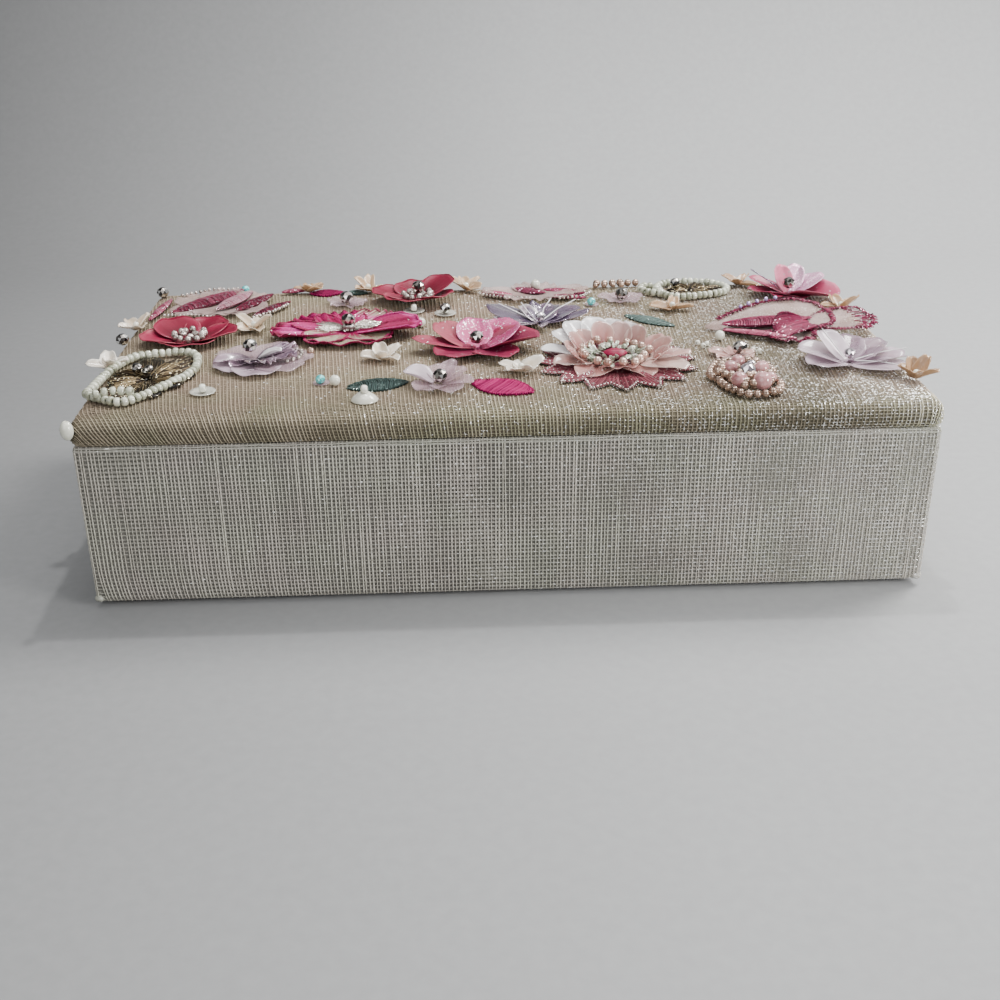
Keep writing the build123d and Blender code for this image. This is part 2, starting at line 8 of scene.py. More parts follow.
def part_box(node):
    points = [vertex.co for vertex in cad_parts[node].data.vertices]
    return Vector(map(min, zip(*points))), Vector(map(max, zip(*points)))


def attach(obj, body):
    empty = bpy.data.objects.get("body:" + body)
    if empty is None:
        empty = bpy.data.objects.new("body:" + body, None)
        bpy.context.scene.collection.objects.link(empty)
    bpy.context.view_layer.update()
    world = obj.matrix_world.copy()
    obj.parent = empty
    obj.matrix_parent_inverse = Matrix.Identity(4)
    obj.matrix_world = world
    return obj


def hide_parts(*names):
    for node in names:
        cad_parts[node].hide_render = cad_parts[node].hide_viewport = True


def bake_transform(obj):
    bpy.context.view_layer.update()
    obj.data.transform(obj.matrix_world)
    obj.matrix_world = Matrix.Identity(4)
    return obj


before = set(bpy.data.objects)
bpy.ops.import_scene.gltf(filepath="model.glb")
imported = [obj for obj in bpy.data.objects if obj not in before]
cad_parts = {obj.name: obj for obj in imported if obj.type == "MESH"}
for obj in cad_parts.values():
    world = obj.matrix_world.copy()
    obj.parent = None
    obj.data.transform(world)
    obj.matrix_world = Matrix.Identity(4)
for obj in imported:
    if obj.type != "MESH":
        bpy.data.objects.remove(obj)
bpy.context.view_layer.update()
MM = 0.001

# Camera, from the photograph's perspective
camera_place = (-13.69, -332.74, 159.98)
camera_yaw = radians(2.18)
camera_pitch = radians(25.44)
camera_roll = radians(-0.54)
camera_lens = 45.2
sensor_width = 36.0

# Cover cloth
cloth_thickness = 0.6
thread_stand = 0.3
warp_stand = thread_stand * 0.75
weft_stand = thread_stand * 0.55
thread_base = 0.02
crossing = 0.08
warp_width = 0.33
weft_width = 0.68
warp_pitch = 0.91
weft_pitch = 1.03
lid_warp_width = 0.34
lid_weft_width = 0.3
lid_warp_pitch = 1.03
lid_weft_pitch = 0.82
wall_corner_radius = 1.5
wall_edge_radius = 0.8
lid_corner_radius = 4.2
lid_top_round = 3.4
lid_bottom_round = 1.2
lid_turn_in = 8.0
wall_turn_under = 2.6
rim_drop = 1.6
hem_drops = (0.7, 1.25)
hem_thread_width = 0.45

# Where the cloth was pulled out of line
bend_height = 12.0
bend_reach = 70.0
bend_pull = 1.7
fold_size = 1.35
fold_height = 2.0
fold_poke = 0.455
left_lean = 0.24
right_lean = 0.10
pull_before_edge = 5.0
pull_ease = 9.0
pull_slope = 0.13
corner_pull_slope = 0.26
corner_pull_reach = 24.0

# Cloth hinge
hinge_leaf_inset = 0.3
hinge_fold = 0.3
hinge_thickness = 0.2


def box_mm(node):
    """Lowest and highest corner of a frame node in millimetres."""
    low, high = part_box(node)
    return np.array(low) / MM, np.array(high) / MM


lid_low, lid_high = box_mm("lid_cover_cloth")
wall_low, wall_high = box_mm("wall_cover_cloth")
boards_high = np.max([box_mm(f"wall_board_{side}")[1] for side in ("back", "right")], axis=0)
wall_half_x = boards_high[0] + cloth_thickness
wall_half_y = boards_high[1] + cloth_thickness
wall_bottom = wall_low[2]
wall_top = wall_high[2]
lid_half_x = lid_high[0]
lid_half_y = lid_high[1]
lid_top = lid_high[2]


# Geometry gathered from many small forms

class Gathered:
    """Points, faces, material numbers and tints of many small forms, for one mesh."""

    def __init__(self):
        self.points, self.tints, self.faces, self.slots, self.smooth = [], [], [], [], []
        self.count = 0

    def add(self, form, slot=0, tint=0.0):
        """A form is its points and faces. A cut one has a third part, the tint of each facet's corners."""
        points, faces = form[:2]
        smooth = len(form) == 2
        if not smooth:
            tint = form[2]
        points = np.asarray(points, float)
        self.points.append(points)
        self.tints.append(np.broadcast_to(np.asarray(tint, float), (len(points),)))
        for group in faces:
            group = np.asarray(group, int)
            if len(group):
                self.faces.append(group + self.count)
                self.slots.append(np.full(len(group), slot))
                self.smooth.append(np.full(len(group), smooth))
        self.count += len(points)

    def piece(self, name, materials, nodes=(), slot_name=None, body="lid"):
        """One object of it all, with the frame nodes it stands for and its body. slot_name, its finish's
        slot, is not used.
        """
        mesh = bpy.data.meshes.new(name)
        points = np.concatenate(self.points) * MM
        mesh.vertices.add(len(points))
        mesh.vertices.foreach_set("co", points.astype(np.float32).ravel())
        sizes = np.concatenate([np.full(len(group), group.shape[1]) for group in self.faces])
        corners = np.concatenate([group.ravel() for group in self.faces])
        mesh.loops.add(len(corners))
        mesh.loops.foreach_set("vertex_index", corners.astype(np.int32))
        mesh.polygons.add(len(sizes))
        starts = np.concatenate([[0], np.cumsum(sizes)[:-1]])
        mesh.polygons.foreach_set("loop_start", starts.astype(np.int32))
        mesh.polygons.foreach_set("material_index", np.concatenate(self.slots).astype(np.int32))
        mesh.polygons.foreach_set("use_smooth", np.concatenate(self.smooth))
        tint = mesh.attributes.new("tint", "FLOAT", "POINT")
        tint.data.foreach_set("value", np.concatenate(self.tints).astype(np.float32))
        mesh.update(calc_edges=True)
        mesh.validate()
        for material in materials:
            mesh.materials.append(material)
        piece = bpy.data.objects.new(name, mesh)
        bpy.context.scene.collection.objects.link(piece)
        if body:
            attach(piece, body)
        if nodes:
            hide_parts(*nodes)
        return piece


def unit(vectors):
    """Vectors scaled to length 1."""
    vectors = np.asarray(vectors, float)
    lengths = np.linalg.norm(vectors, axis=-1, keepdims=True)
    return vectors / np.maximum(lengths, 1e-9)


def grid_faces(rows, columns, wrap=False):
    """Quads between the points of a grid that is stored row by row."""
    across = columns if wrap else columns - 1
    i = np.arange(rows - 1)[:, None] * columns
    j = np.arange(across)[None, :]
    after = (j + 1) % columns
    return np.stack([i + j, i + after, i + columns + after, i + columns + j], axis=-1).reshape(-1, 4)


# Threads laid on a surface

def laid_threads(points, normals, valid, widths, stand):
    """Three-sided threads along rows of points. Where valid is false the thread is left out."""
    along = unit(np.gradient(points, axis=1))
    aside = unit(np.cross(along, normals))
    half = (aside.T * (np.asarray(widths, float).T / 2)).T
    ridge = normals * stand
    ring = np.stack([points - half, points + ridge, points + half], axis=2)
    rows, columns = points.shape[:2]
    index = np.arange(rows * columns * 3).reshape(rows, columns, 3)
    both = valid[:, :-1] & valid[:, 1:]
    near, far = index[:, :-1][both], index[:, 1:][both]
    quads = []
    for a in range(3):
        b = (a + 1) % 3
        quads.append(np.stack([near[:, a], near[:, b], far[:, b], far[:, a]], axis=-1))
    quads = np.concatenate(quads)
    used = np.zeros(rows * columns * 3, bool)
    used[quads.ravel()] = True
    renumber = np.cumsum(used) - 1
    return ring.reshape(-1, 3)[used], [renumber[quads]]


def alternate(rows, columns):
    """1 where a thread passes over its crossing and 0 where it passes under."""
    return (np.arange(rows)[:, None] + np.arange(columns)[None, :]) % 2


# The walls' cloth as a surface: round the box, and up its section

def rounded_section(corners, radii):
    """A path through corners, each rounded to its radius, as points and their distance along it."""
    step = 0.15
    corners = [np.asarray(c, float) for c in corners]
    path = [corners[0]]
    for before, corner, after, radius in zip(corners, corners[1:], corners[2:], radii):
        start = unit(before - corner)
        end = unit(after - corner)
        turn = np.arccos(np.clip(start @ end, -1, 1))
        back = radius / np.tan(turn / 2)
        middle = corner + unit(start + end) * radius / sin(turn / 2)
        first, last = corner + start * back, corner + end * back
        count = max(3, int(radius * (pi - turn) / step))
        for k in range(count + 1):
            share = k / count
            arm = unit((1 - share) * (first - middle) + share * (last - middle))
            path.append(middle + arm * radius)
    path.append(corners[-1])
    path = np.array(path)
    lengths = np.concatenate([[0], np.cumsum(np.linalg.norm(np.diff(path, axis=0), axis=1))])
    return path, lengths


def along_section(section, distance):
    """Inset and height at a distance along a section, with its outward normal."""
    path, lengths = section
    inset = np.interp(distance, lengths, path[:, 0])
    height = np.interp(distance, lengths, path[:, 1])
    slope = np.gradient(path, axis=0) / np.maximum(np.gradient(lengths), 1e-9)[:, None]
    d_inset = np.interp(distance, lengths, slope[:, 0])
    d_height = np.interp(distance, lengths, slope[:, 1])
    scale = np.maximum(np.hypot(d_inset, d_height), 1e-9)
    return inset, height, d_height / scale, d_inset / scale


def around_box(half_x, half_y, radius, distance):
    """Place and outward direction at a distance round a rounded rectangle, from its front left corner."""
    arc = radius * pi / 2
    straights = [2 * (half_x - radius), 2 * (half_y - radius)] * 2
    corners = [(1, -1), (1, 1), (-1, 1), (-1, -1)]
    x, y = np.zeros_like(distance), np.zeros_like(distance)
    nx, ny = np.zeros_like(distance), np.zeros_like(distance)
    start = 0.0
    heading = 0.0
    begin = np.array([-(half_x - radius), -half_y])
    for straight, (side_x, side_y) in zip(straights, corners):
        ahead = np.array([cos(heading), sin(heading)])
        out = np.array([sin(heading), -cos(heading)])
        on = (distance >= start) & (distance <= start + straight)
        run = distance[on] - start
        x[on], y[on] = begin[0] + ahead[0] * run, begin[1] + ahead[1] * run
        nx[on], ny[on] = out
        start += straight
        middle = np.array([side_x * (half_x - radius), side_y * (half_y - radius)])
        on = (distance > start) & (distance < start + arc)
        angle = heading - pi / 2 + (distance[on] - start) / radius
        x[on], y[on] = middle[0] + radius * np.cos(angle), middle[1] + radius * np.sin(angle)
        nx[on], ny[on] = np.cos(angle), np.sin(angle)
        start += arc
        heading += pi / 2
        begin = middle + radius * np.array([cos(heading - pi / 2), sin(heading - pi / 2)])
    return x, y, nx, ny


def box_way_round(half_x, half_y, radius):
    """Distance all the way round a rounded rectangle."""
    return 4 * (half_x + half_y - 2 * radius) + 2 * pi * radius


rim_inset = boards_high[0] - box_mm("lining_panel_right")[1][0] + cloth_thickness - thread_stand
wall_section = rounded_section(
    [
        (wall_turn_under, wall_bottom + thread_stand),
        (thread_stand, wall_bottom + thread_stand),
        (thread_stand, wall_top - thread_stand),
        (rim_inset, wall_top - thread_stand),
        (rim_inset, wall_top - rim_drop),
    ],
    [wall_edge_radius] * 3,
)
wall_way = box_way_round(wall_half_x, wall_half_y, wall_corner_radius)


def wall_surface(round_distance, up_distance, lift=0.0):
    """Points and normals on the walls' cloth."""
    round_distance, up_distance = np.broadcast_arrays(round_distance, up_distance)
    inset, height, out, up = along_section(wall_section, up_distance)
    x, y, nx, ny = around_box(wall_half_x, wall_half_y, wall_corner_radius, np.mod(round_distance, wall_way))
    bound_x, bound_y = wall_half_x - inset, wall_half_y - inset
    px = np.clip(x, -bound_x, bound_x)
    py = np.clip(y, -bound_y, bound_y)
    normals = unit(np.stack([nx * out, ny * out, up], axis=-1))
    points = np.stack([px, py, height], axis=-1) + normals * np.asarray(lift)[..., None]
    return points, normals


lid_section = rounded_section(
    [
        (0.0, lid_top - thread_stand),
        (lid_corner_radius - thread_stand, lid_top - thread_stand),
        (lid_corner_radius - thread_stand, lid_low[2] + thread_stand),
        (lid_corner_radius - lid_turn_in, lid_low[2] + thread_stand),
    ],
    [lid_top_round, lid_bottom_round],
)
lid_reach = lid_section[1][-1]
lid_inner_x = lid_half_x - lid_corner_radius
lid_inner_y = lid_half_y - lid_corner_radius


def lid_surface(s, t, lift=0.0):
    """Points and normals on the lid's cloth at s, t on the flat cloth, and whether it reaches there."""
    s, t = np.broadcast_arrays(s, t)
    over_s = s - np.clip(s, -lid_inner_x, lid_inner_x)
    over_t = t - np.clip(t, -lid_inner_y, lid_inner_y)
    away = np.hypot(over_s, over_t)
    direction_x = over_s / np.maximum(away, 1e-9)
    direction_y = over_t / np.maximum(away, 1e-9)
    path, lengths = lid_section
    reach = np.interp(away, lengths, path[:, 0])
    height = np.interp(away, lengths, path[:, 1])
    slope = np.gradient(path, axis=0) / np.maximum(np.gradient(lengths), 1e-9)[:, None]
    out_slope = np.interp(away, lengths, slope[:, 0])
    up_slope = np.interp(away, lengths, slope[:, 1])
    under = np.minimum(reach, 0.0)
    px = np.clip(s, -lid_inner_x - under, lid_inner_x + under) + direction_x * np.maximum(reach, 0)
    py = np.clip(t, -lid_inner_y - under, lid_inner_y + under) + direction_y * np.maximum(reach, 0)
    normals = unit(np.stack([-up_slope * direction_x, -up_slope * direction_y, out_slope], axis=-1))
    flat = away < 1e-6
    normals[flat] = (0, 0, 1)
    points = np.stack([px, py, height], axis=-1) + normals * np.asarray(lift)[..., None]
    return points, normals, away <= lid_reach


# Small forms: beads, pearls, stones and sequins

def moved(form, matrix):
    """A form set in place by a matrix."""
    return (form[0] @ matrix[:3, :3].T + matrix[:3, 3], *form[1:])


def spot(place, turn=0.0, out=0.0, tilt=0.0, roll=0.0):
    """A place as a matrix: turned about Z, out from the middle, raised by a tilt and rolled along itself."""
    matrix = Matrix.Translation(place) @ Matrix.Rotation(radians(turn), 4, "Z")
    matrix = matrix @ Matrix.Translation((out, 0, 0)) @ Matrix.Rotation(radians(-tilt), 4, "Y")
    return np.array(matrix @ Matrix.Rotation(radians(roll), 4, "X"))


def revolved(profile, sides, closed=False):
    """A form turned about Z from radius and height pairs, going up on its outside."""
    profile = np.asarray(profile, float)
    angles = np.arange(sides) * 2 * pi / sides
    points = np.stack(
        [
            profile[:, :1] * np.cos(angles),
            profile[:, :1] * np.sin(angles),
            np.broadcast_to(profile[:, 1:], (len(profile), sides)),
        ],
        axis=-1,
    ).reshape(-1, 3)
    faces = [grid_faces(len(profile), sides, wrap=True)]
    if closed:
        last = (len(profile) - 1) * sides
        j = np.arange(sides)
        after = (j + 1) % sides
        faces.append(np.stack([last + j, last + after, after, j], axis=-1))
    return points, faces


def pearl_form(diameter, hole_share=0.2):
    """A drilled pearl that stands on z 0, its hole along Z."""
    sides, steps = 16, 9
    radius = diameter / 2
    low = np.arcsin(hole_share)
    angles = np.linspace(pi - low, low, steps)
    profile = [(radius * sin(a), radius + radius * cos(a)) for a in angles]
    return revolved(profile, sides, closed=True)


def seed_form(diameter, length, sides=14):
    """A short glass bead with rounded ends and a hole along X, standing on z 0."""
    radius, hole = diameter / 2, diameter * 0.2
    round_off = length * 0.4
    profile = [(hole, -length / 2 + 0.1 * round_off)]
    quarter = np.linspace(0, pi / 2, 5)
    for end, angles in ((-1, quarter), (1, quarter[::-1])):
        for angle in angles:
            level = end * (length / 2 - round_off + round_off * cos(angle))
            profile.append((radius - round_off + round_off * sin(angle), level))
    profile.append((hole, length / 2 - 0.1 * round_off))
    points, faces = revolved(profile, sides, closed=True)
    return np.stack([points[:, 2], points[:, 1], radius - points[:, 0]], axis=-1), faces


def welded(points, faces):
    """The same surface with points that lie together made one, and faces closed up to nothing left out."""
    _, kept, same = np.unique(np.round(points, 3), axis=0, return_index=True, return_inverse=True)
    same = same.ravel()
    by_corners = {3: [], 4: []}
    for group in faces:
        for face in np.asarray(group):
            corners = [same[point] for point in face]
            corners = [corner for number, corner in enumerate(corners) if corner != corners[number - 1]]
            if len(corners) > 2:
                by_corners[len(corners)].append(corners)
    return points[kept], [by_corners[3], by_corners[4]]


def apart(points, faces):
    """Facets that share no corners, and a chance tint for each, from dark to bright: a painted reflection of
    cut glass over silver.
    """
    random = np.random.default_rng(len(points))
    made_points, made_faces, tints, count = [], [], [], 0
    for group in faces:
        for face in np.asarray(group):
            made_points.append(points[face])
            made_faces.append(np.arange(len(face))[None, :] + count)
            # Painted reflection: each facet's tint, dark to white, stands in for what it reflects.
            tints.extend([random.choice([0.0, 0.1, 0.3, 0.6, 1.0])] * len(face))
            count += len(face)
    return np.concatenate(made_points), made_faces, np.array(tints)


def cut_form(diameter):
    """A bead cut in flat facets, its rings of corners turned against each other."""
    sides, tall = 9, 0.86
    radius = diameter / 2
    heights = (-0.92, -0.55, 0.0, 0.55, 0.92)
    points, faces = [], []
    for ring, height in enumerate(heights):
        reach = radius * np.sqrt(1 - height**2)
        angles = (np.arange(sides) + 0.5 * (ring % 2)) * 2 * pi / sides
        level = radius * tall * (1 + height)
        ring_points = [reach * np.cos(angles), reach * np.sin(angles), np.full(sides, level)]
        points.append(np.column_stack(ring_points))
    j = np.arange(sides)
    for ring in range(len(heights) - 1):
        low, high = ring * sides, (ring + 1) * sides
        ahead = (j + 1) % sides
        if ring % 2 == 0:
            faces.append(np.stack([low + j, low + ahead, high + j], axis=-1))
            faces.append(np.stack([low + ahead, high + ahead, high + j], axis=-1))
        else:
            faces.append(np.stack([low + j, high + ahead, high + j], axis=-1))
            faces.append(np.stack([low + j, low + ahead, high + ahead], axis=-1))
    faces.append(j[None, ::-1])
    faces.append((len(heights) - 1) * sides + j[None, :])
    return apart(np.concatenate(points), faces)


def setting_form(diameter):
    """The metal cup of a stone, and its four claws."""
    radius = diameter / 2
    cup = revolved(
        [(radius * 0.2, 0), (radius * 1.0, 0), (radius * 1.18, radius * 0.5), (radius * 1.02, radius * 0.5),
         (radius * 0.95, radius * 0.2), (radius * 0.2, radius * 0.15)],
        16, closed=True,
    )
    claws = []
    for k in range(4):
        angle = pi / 4 + k * pi / 2
        way = np.array([cos(angle), sin(angle), 0])
        aside = np.array([-sin(angle), cos(angle), 0]) * radius * 0.16
        shares = ((1.16, 0.1), (1.12, 0.6), (0.72, 0.86))
        path = [way * radius * reach + (0, 0, radius * height) for reach, height in shares]
        inner = [place - way * radius * 0.14 - (0, 0, radius * 0.1) for place in path]
        corners = []
        for p, q in zip(path, inner):
            corners.extend([p - aside, p + aside, q + aside, q - aside])
        faces = []
        for step in (0, 4):
            for a in range(4):
                b = (a + 1) % 4
                faces.append([step + a, step + b, step + 4 + b, step + 4 + a])
        faces.append([3, 2, 1, 0])
        faces.append([8, 9, 10, 11])
        claws.append((np.array(corners), [np.array(faces)]))
    return [cup] + claws


def disc_form(radius, thickness, dish, hole_share=0.1):
    """A round sequin with a small hole, its rim higher than its middle by the dish."""
    shares = (hole_share, 0.45, 0.75, 1.0)
    low = [(radius * share, dish * share**2) for share in shares]
    high = [(reach, level + thickness) for reach, level in reversed(low)]
    return revolved(low + high, 28, closed=True)


# Petals: each a surface of its share along and its share across

def petal(length, width, root=0.22, shoulder=0.6, notch=0.0, rise=0.0, curl=0.0, cup=0.0, wave=0.0, waves=2,
          phase=0.0, crease=0.0, ribs=0, rib_depth=0.1):
    """A petal along +X from its root, as a function of its shares along and across."""

    def surface(along, across):
        along, across = np.broadcast_arrays(along, across)
        edge = shoulder + (1 - shoulder) * np.sqrt(np.clip(1 - across**2, 0, 1))
        edge = edge - notch * np.exp(-((across / 0.28) ** 2))
        spread = root + (1 - root) * np.sin(np.clip(along / 0.8, 0, 1) * pi / 2)
        x = length * along * edge
        y = width / 2 * across * spread
        reach = x / length
        z = rise * reach + curl * reach**3 + cup * (across * spread) ** 2
        z = z + wave * np.sin(waves * pi * across + phase) * reach**2
        z = z - crease * (1 - np.abs(across)) * reach
        if ribs:
            z = z + rib_depth * np.cos(ribs * pi * across) * np.clip(reach * 2, 0, 1)
        return np.stack([x, y, z], axis=-1)

    return surface


def lens(length, width, lift):
    """A leaf pointed at both ends, raised a little along its middle."""

    def surface(along, across):
        along, across = np.broadcast_arrays(along, across)
        half = width / 2 * np.sin(pi * np.clip(along, 0, 1)) ** 0.8
        return np.stack([length * along, half * across, lift * (1 - across**2) * np.sin(pi * along)], axis=-1)

    return surface


def set_at(surface, matrix):
    """A surface set in place by a matrix."""

    def place(along, across):
        return surface(along, across) @ matrix[:3, :3].T + matrix[:3, 3]

    return place


def sheet_form(surface, rows, columns, thickness):
    """A thin closed sheet on a surface."""
    top = surface(np.linspace(0, 1, rows)[:, None], np.linspace(-1, 1, columns)[None, :])
    normals = unit(np.cross(np.gradient(top, axis=0), np.gradient(top, axis=1)))
    count = rows * columns
    points = np.concatenate([top.reshape(-1, 3), (top - normals * thickness).reshape(-1, 3)])
    upper = grid_faces(rows, columns)[:, ::-1]
    lower = grid_faces(rows, columns) + count
    index = np.arange(count).reshape(rows, columns)
    loop = np.concatenate([index[:-1, 0], index[-1, :-1], index[:0:-1, -1], index[0, :0:-1]])
    ahead = np.roll(loop, -1)
    rim = np.stack([loop, loop + count, ahead + count, ahead], axis=-1)
    return points, [upper, lower, rim]


def sheet_tint(rows, columns, function):
    """A tint for each point of a sheet, from its shares along and across."""
    along = np.broadcast_to(np.linspace(0, 1, rows)[:, None], (rows, columns))
    across = np.broadcast_to(np.linspace(-1, 1, columns)[None, :], (rows, columns))
    tint = np.asarray(function(along, across), float).reshape(-1)
    return np.concatenate([tint, tint])


def surface_normals(surface, along, across):
    """Normals of a surface at its shares along and across."""
    step = 0.02
    ahead = surface(np.clip(along + step, 0, 1), across) - surface(np.clip(along - step, 0, 1), across)
    aside = surface(along, np.clip(across + step, -1, 1)) - surface(along, np.clip(across - step, -1, 1))
    return unit(np.cross(ahead, aside))


def stitches(made, surface, count, width, slot, tint, seed, stand=0.22, begin=0.04, end=1.0, ragged=0.04,
             samples=7, reach=0.97, lift=0.0):
    """Satin stitches side by side along a surface. tint is a function of along, across and chance."""
    random = np.random.default_rng(seed)
    across = np.linspace(-reach, reach, count)[:, None]
    first = begin + random.uniform(0, ragged, (count, 1))
    last = end - random.uniform(0, ragged, (count, 1))
    along = first + (last - first) * np.linspace(0, 1, samples)[None, :]
    across = across + np.zeros_like(along)
    normals = surface_normals(surface, along, across)
    points = surface(along, across) + normals * (lift + random.uniform(0, 0.08, (count, 1))[..., None])
    chance = random.uniform(0, 1, (count, 1)) + np.zeros_like(along)
    tints = tint(along, across, chance)
    widths = width * random.uniform(0.85, 1.2, (count, 1)) * np.ones_like(along)
    widths[:, -1] *= 0.4
    form = laid_threads(points, normals, np.ones(along.shape, bool), widths, stand)
    made.add(form, slot, np.repeat(tints.reshape(-1), 3))


def rim_path(surface, count, inset, lift, down=0.15):
    """Points along the edge of a petal, from its root round its tip and back."""
    reach = 0.98
    down_side = np.linspace(down, 1, count // 3)
    tip = np.linspace(-reach, reach, count)
    along = np.concatenate([down_side, np.full(count, 1.0), down_side[::-1]]) * (1 - inset)
    across = np.concatenate([np.full(count // 3, -reach), tip, np.full(count // 3, reach)])
    points = surface(along, across)
    return points + surface_normals(surface, along, across) * lift


def cord_form(path, width, stand):
    """One three-sided strand along a path."""
    path = np.asarray(path, float)
    normals = np.broadcast_to((0.0, 0.0, 1.0), path.shape)
    valid = np.ones((1, len(path)), bool)
    return laid_threads(path[None], normals[None], valid, np.full((1, len(path)), width), stand)


def evenly(path, pitch, closed=False):
    """Places at even steps along a path, and the heading at each in degrees."""
    path = np.asarray(path, float)
    if closed:
        path = np.concatenate([path, path[:1]])
    lengths = np.concatenate([[0], np.cumsum(np.linalg.norm(np.diff(path, axis=0), axis=1))])
    count = max(2, int(round(lengths[-1] / pitch)))
    steps = np.arange(count) * lengths[-1] / count if closed else np.linspace(0, lengths[-1], count)
    places = np.stack([np.interp(steps, lengths, path[:, axis]) for axis in range(3)], axis=-1)
    nudge = min(pitch * 0.2, lengths[-1] / 50)
    ahead = np.stack([np.interp(steps + nudge, lengths, path[:, axis]) for axis in range(3)], axis=-1)
    behind = np.stack([np.interp(steps - nudge, lengths, path[:, axis]) for axis in range(3)], axis=-1)
    way = ahead - behind
    return places, np.degrees(np.arctan2(way[:, 1], way[:, 0]))


def smooth_loop(corners):
    """A closed smooth curve through a few points."""
    steps = 12
    corners = np.asarray(corners, float)
    path = []
    count = len(corners)
    for i in range(count):
        before, start, end, after = (corners[(i + k) % count] for k in (-1, 0, 1, 2))
        for k in range(steps):
            t = k / steps
            square = 2 * before - 5 * start + 4 * end - after
            cube = 3 * start - before - 3 * end + after
            path.append(0.5 * (2 * start + (end - before) * t + square * t**2 + cube * t**3))
    return np.array(path)


def string_beads(made, path, form, pitch, slot=0, closed=False, seed=2, sway=8.0):
    """Beads strung along a path, each a little uneven."""
    random = np.random.default_rng(seed)
    places, headings = evenly(path, pitch, closed)
    for place, heading in zip(places, headings):
        matrix = spot(place, heading + random.normal(0, sway))
        _, size, tint = random.uniform((0, 0.93, 0), (1, 1.06, 1))
        matrix[:3, :3] *= size
        made.add(moved(form, matrix), slot, tint)


def on_lid(shares, lift=0.0):
    """A place on the lid's top from shares of its half length and half depth."""
    return np.array([shares[0] * lid_half_x, shares[1] * lid_half_y, lid_top + lift])


# Materials

class Shader:
    """A node material with short ways to add what these finishes need."""

    def __init__(self, name, **values):
        self.material = bpy.data.materials.new(name)
        self.material.use_nodes = True
        self.nodes = self.material.node_tree.nodes
        self.links = self.material.node_tree.links
        self.main = self.nodes["Principled BSDF"]
        for key, value in values.items():
            self.main.inputs[key.replace("_", " ").title().replace("Ior", "IOR")].default_value = value

    def link(self, output, target):
        self.links.new(output, self.main.inputs[target])

    def node(self, kind, inputs, output=0, **settings):
        """The output of a new node whose inputs are set to values or linked to other outputs."""
        node = self.nodes.new(kind)
        for key, value in settings.items():
            setattr(node, key, value)
        for key, value in inputs.items():
            if isinstance(value, bpy.types.NodeSocket):
                self.links.new(value, node.inputs[key])
            else:
                node.inputs[key].default_value = value
        return node.outputs[output]

    def coords(self, scale=(1, 1, 1)):
        """Coordinates that stay with the piece, in millimetres times the scale."""
        place = self.node("ShaderNodeTexCoord", {}, "Object")
        inputs = {0: place, 1: [part / MM for part in scale]}
        return self.node("ShaderNodeVectorMath", inputs, operation="MULTIPLY")

    def noise(self, size, detail=2.0, stretch=(1, 1, 1), roughness=0.5):
        """Noise whose features are about that size."""
        place = self.coords([part / size for part in stretch])
        inputs = {"Vector": place, "Scale": 1.0, "Detail": detail, "Roughness": roughness}
        return self.node("ShaderNodeTexNoise", inputs, "Fac")

    def specks(self, size, share):
        """1 in a share of small cells and 0 elsewhere."""
        inputs = {0: self.coords([1 / size] * 3), 1: (1, 1, 1)}
        cells = self.node("ShaderNodeVectorMath", inputs, operation="SNAP")
        return self.math("LESS_THAN", self.node("ShaderNodeTexWhiteNoise", {"Vector": cells}, "Value"), share)

    def across(self, axis, low, high):
        """From 0 to 1 between two places on an axis."""
        return self.span(self.node("ShaderNodeSeparateXYZ", {0: self.coords()}, axis), 0.0, 1.0, low, high)

    def tint(self):
        """The tint that the mesh carries."""
        return self.node("ShaderNodeAttribute", {}, "Fac", attribute_name="tint")

    def varied_tint(self, noise, amount):
        """The mesh's tint, moved up and down by a noise."""
        return self.math("ADD", self.tint(), self.math("MULTIPLY", self.math("SUBTRACT", noise, 0.5), amount))

    def ramp(self, factor, stops):
        """Colours at places from 0 to 1, where one number is a grey."""
        output = self.node("ShaderNodeValToRGB", {"Fac": factor}, "Color")
        elements = output.node.color_ramp.elements
        while len(elements) < len(stops):
            elements.new(0.5)
        for element, (place, colour) in zip(elements, stops):
            element.position = place
            element.color = (colour, colour, colour, 1) if np.isscalar(colour) else (*colour, 1)
        return output

    def mix(self, factor, first, second, kind="MIX"):
        """Two colours mixed by a number or an output."""
        colours = [part if isinstance(part, bpy.types.NodeSocket) else (*part, 1) for part in (first, second)]
        inputs = {0: factor, 6: colours[0], 7: colours[1]}
        return self.node("ShaderNodeMix", inputs, 2, data_type="RGBA", blend_type=kind)

    def shaded(self, amount, tone, factor, stops):
        """A tone multiplied by a ramp's colours."""
        return self.mix(amount, tone, self.ramp(factor, stops), "MULTIPLY")

    def math(self, kind, first, second=0.0, third=0.0):
        return self.node("ShaderNodeMath", {0: first, 1: second, 2: third}, operation=kind)

    def span(self, value, at_low, at_high, low=0.0, high=1.0):
        """A value spread between two numbers."""
        inputs = {"Value": value, "From Min": low, "From Max": high, "To Min": at_low, "To Max": at_high}
        return self.node("ShaderNodeMapRange", inputs)

    def bump(self, height, depth, strength=1.0):
        """Bump of that depth in millimetres."""
        inputs = {"Strength": strength, "Distance": depth * MM, "Height": height}
        self.link(self.node("ShaderNodeBump", inputs), "Normal")


